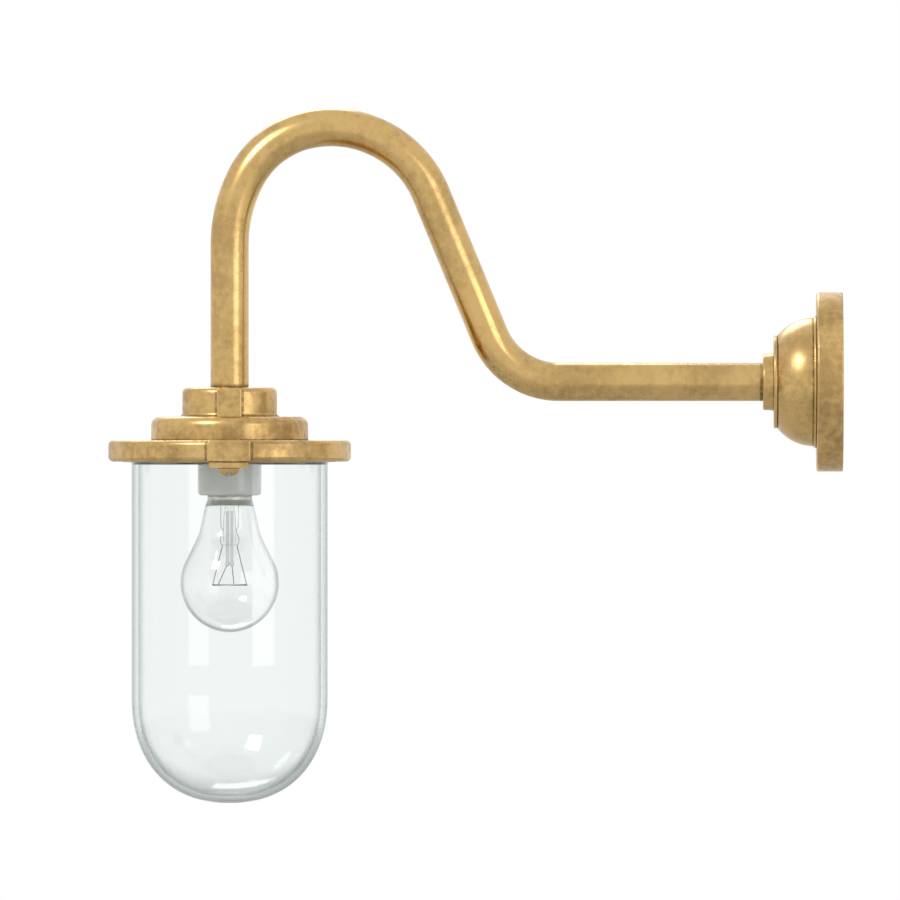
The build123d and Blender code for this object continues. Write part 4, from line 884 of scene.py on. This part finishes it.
def coiled(sides=6, steps=12):
    """Wire wound round a half ring: the ring's angle grows evenly, a circle of the coil's radius
    turns many times about it, and the wire's own section stands about that helix."""
    share = np.linspace(0, 1, COIL_TURNS * steps + 1)[:, None]
    wind = 2 * np.pi * COIL_TURNS * share
    ring = np.pi * (share - 0.5)
    turn = np.linspace(0, 2 * np.pi, sides, endpoint=False)
    out = COIL_R * np.cos(wind) + COIL_WIRE_R * np.cos(turn) * np.cos(wind)
    up = COIL_R * np.sin(wind) + COIL_WIRE_R * np.cos(turn) * np.sin(wind)
    along = COIL_WIRE_R * np.sin(turn)
    radius = FILAMENT_R + out
    x = radius * np.cos(ring) - along * np.sin(ring)
    y = radius * np.sin(ring) + along * np.cos(ring)
    grid = np.stack([x, y - REACH, FILAMENT_LEVEL + up], axis=2)
    ends = grid[[0, -1]].mean(axis=1, keepdims=True) + 0 * grid[[0, -1]]
    return np.concatenate([ends[:1], grid, ends[1:]])


place = begin("tungsten_wire")
tone = place.cloud(900).rise(0.3, 0.7)
surface = {"Base Color": tone.blend((0.14, 0.135, 0.13, 1), (0.07, 0.066, 0.064, 1))}
surface.update({"Metallic": 1.0, "Roughness": 0.42 + tone * 0.1})
coil = skin("filament_coiled", coiled())
finished(coil, close(place, surface), "bulb", "tungsten", "bulb_filament")

place = begin("nickel_wire")
tone = place.cloud(500).rise(0.3, 0.7)
surface = {"Base Color": tone.blend((0.10, 0.096, 0.092, 1), (0.05, 0.048, 0.046, 1))}
surface.update({"Metallic": 1.0, "Roughness": 0.36 + tone * 0.1})
dress(close(place, surface), "bulb_leads", "bulb_supports")


# ---- Studio ----------------------------------------------------------------------------------
# A pale floor below the light, which fades into the white around it and is clear from underneath,
# and three soft lamps. The camera stands far off, square to the light's side, with a long lens.
FLOOR_LEVEL = -0.42
FLOOR_R = 2.2
FLOOR_CENTRE = -0.22
FLOOR_SIDES = 64
FLOOR_FADE = (0.7, 2.1)  # distances from the centre
AMBIENT = 0.50

turn = np.linspace(0, 2 * np.pi, FLOOR_SIDES, endpoint=False)
rim = [FLOOR_R * np.cos(turn), FLOOR_R * np.sin(turn) + FLOOR_CENTRE, 0 * turn + FLOOR_LEVEL]
mesh = bpy.data.meshes.new("floor")
mesh.from_pydata(np.stack(rim, axis=1), [], [list(range(FLOOR_SIDES))])
floor = bpy.data.objects.new("floor", mesh)
bpy.context.scene.collection.objects.link(floor)


def room_level(rays):
    """Strength of the white room: 1 to the eye, in metal and through glass, and AMBIENT to all
    else. The line is the first output of a Light Path node."""
    seen = rays + rays.output("Is Glossy Ray") + rays.output("Is Transmission Ray")
    return AMBIENT + (1 - AMBIENT) * rays.node("Clamp", {}, {0: seen})


PALE = (0.82, 0.82, 0.82, 1)

place = begin("pale_floor")
x, y, _ = place.parts()
far_off = x.length(y - FLOOR_CENTRE).rise(*FLOOR_FADE)
matt = place.node("BsdfDiffuse", {}, {"Color": PALE})
level = room_level(place.node("LightPath"))
white = place.node("Emission", {}, {"Color": WHITE, "Strength": level})
upper = place.node("MixShader", {}, {0: far_off, 1: matt, 2: white})
underneath = place.node("NewGeometry").output("Backfacing")
clear = place.node("BsdfTransparent")
both = place.node("MixShader", {}, {0: underneath, 1: upper, 2: clear})
place.node("OutputMaterial", {}, {"Surface": both})
mesh.materials.append(bpy.data.materials["pale_floor"])
mesh.materials[0].cycles.emission_sampling = "NONE"

world = bpy.data.worlds.new("white_room")
bpy.context.scene.world = world
world.use_nodes = True
world.node_tree.nodes.clear()
rays = Line(world.node_tree.nodes.new("ShaderNodeLightPath").outputs[0])
sky = rays.node("Background", {}, {"Color": WHITE, "Strength": room_level(rays)})
rays.node("OutputWorld", {}, {"Surface": sky})


def soft_lamp(name, place_at, aim, across, level):
    """Square area lamp that gives a white card at its aim that level, 1 being as written."""
    at, to = Vector(place_at), Vector(aim)
    lamp = bpy.data.lights.new(name, "AREA")
    lamp.size = across
    lamp.energy = level * math.pi**2 * (at - to).length_squared
    holder = bpy.data.objects.new(name, lamp)
    holder.location = at
    holder.rotation_euler = (to - at).to_track_quat("-Z", "Y").to_euler()
    bpy.context.scene.collection.objects.link(holder)


VIEW_CENTRE = (0, -0.2396, -0.0415)
VIEW_WIDTH = 0.549
CAMERA_AWAY = 19.8

soft_lamp("key_lamp", (1.6, -1.7, 1.6), VIEW_CENTRE, across=0.8, level=0.34)
soft_lamp("fill_lamp", (1.8, 1.2, 0.4), VIEW_CENTRE, across=1.2, level=0.12)
soft_lamp("back_lamp", (-1.8, -0.6, 1.4), VIEW_CENTRE, across=1.0, level=0.20)

lens = bpy.data.cameras.new("camera")
lens.lens = lens.sensor_width * CAMERA_AWAY / VIEW_WIDTH
lens.clip_end = 60
camera = bpy.data.objects.new("camera", lens)
camera.location = (CAMERA_AWAY, *VIEW_CENTRE[1:])
camera.rotation_euler = (math.pi / 2, 0, math.pi / 2)
bpy.context.scene.collection.objects.link(camera)
bpy.context.scene.camera = camera
bpy.context.scene.view_settings.view_transform = "Standard"
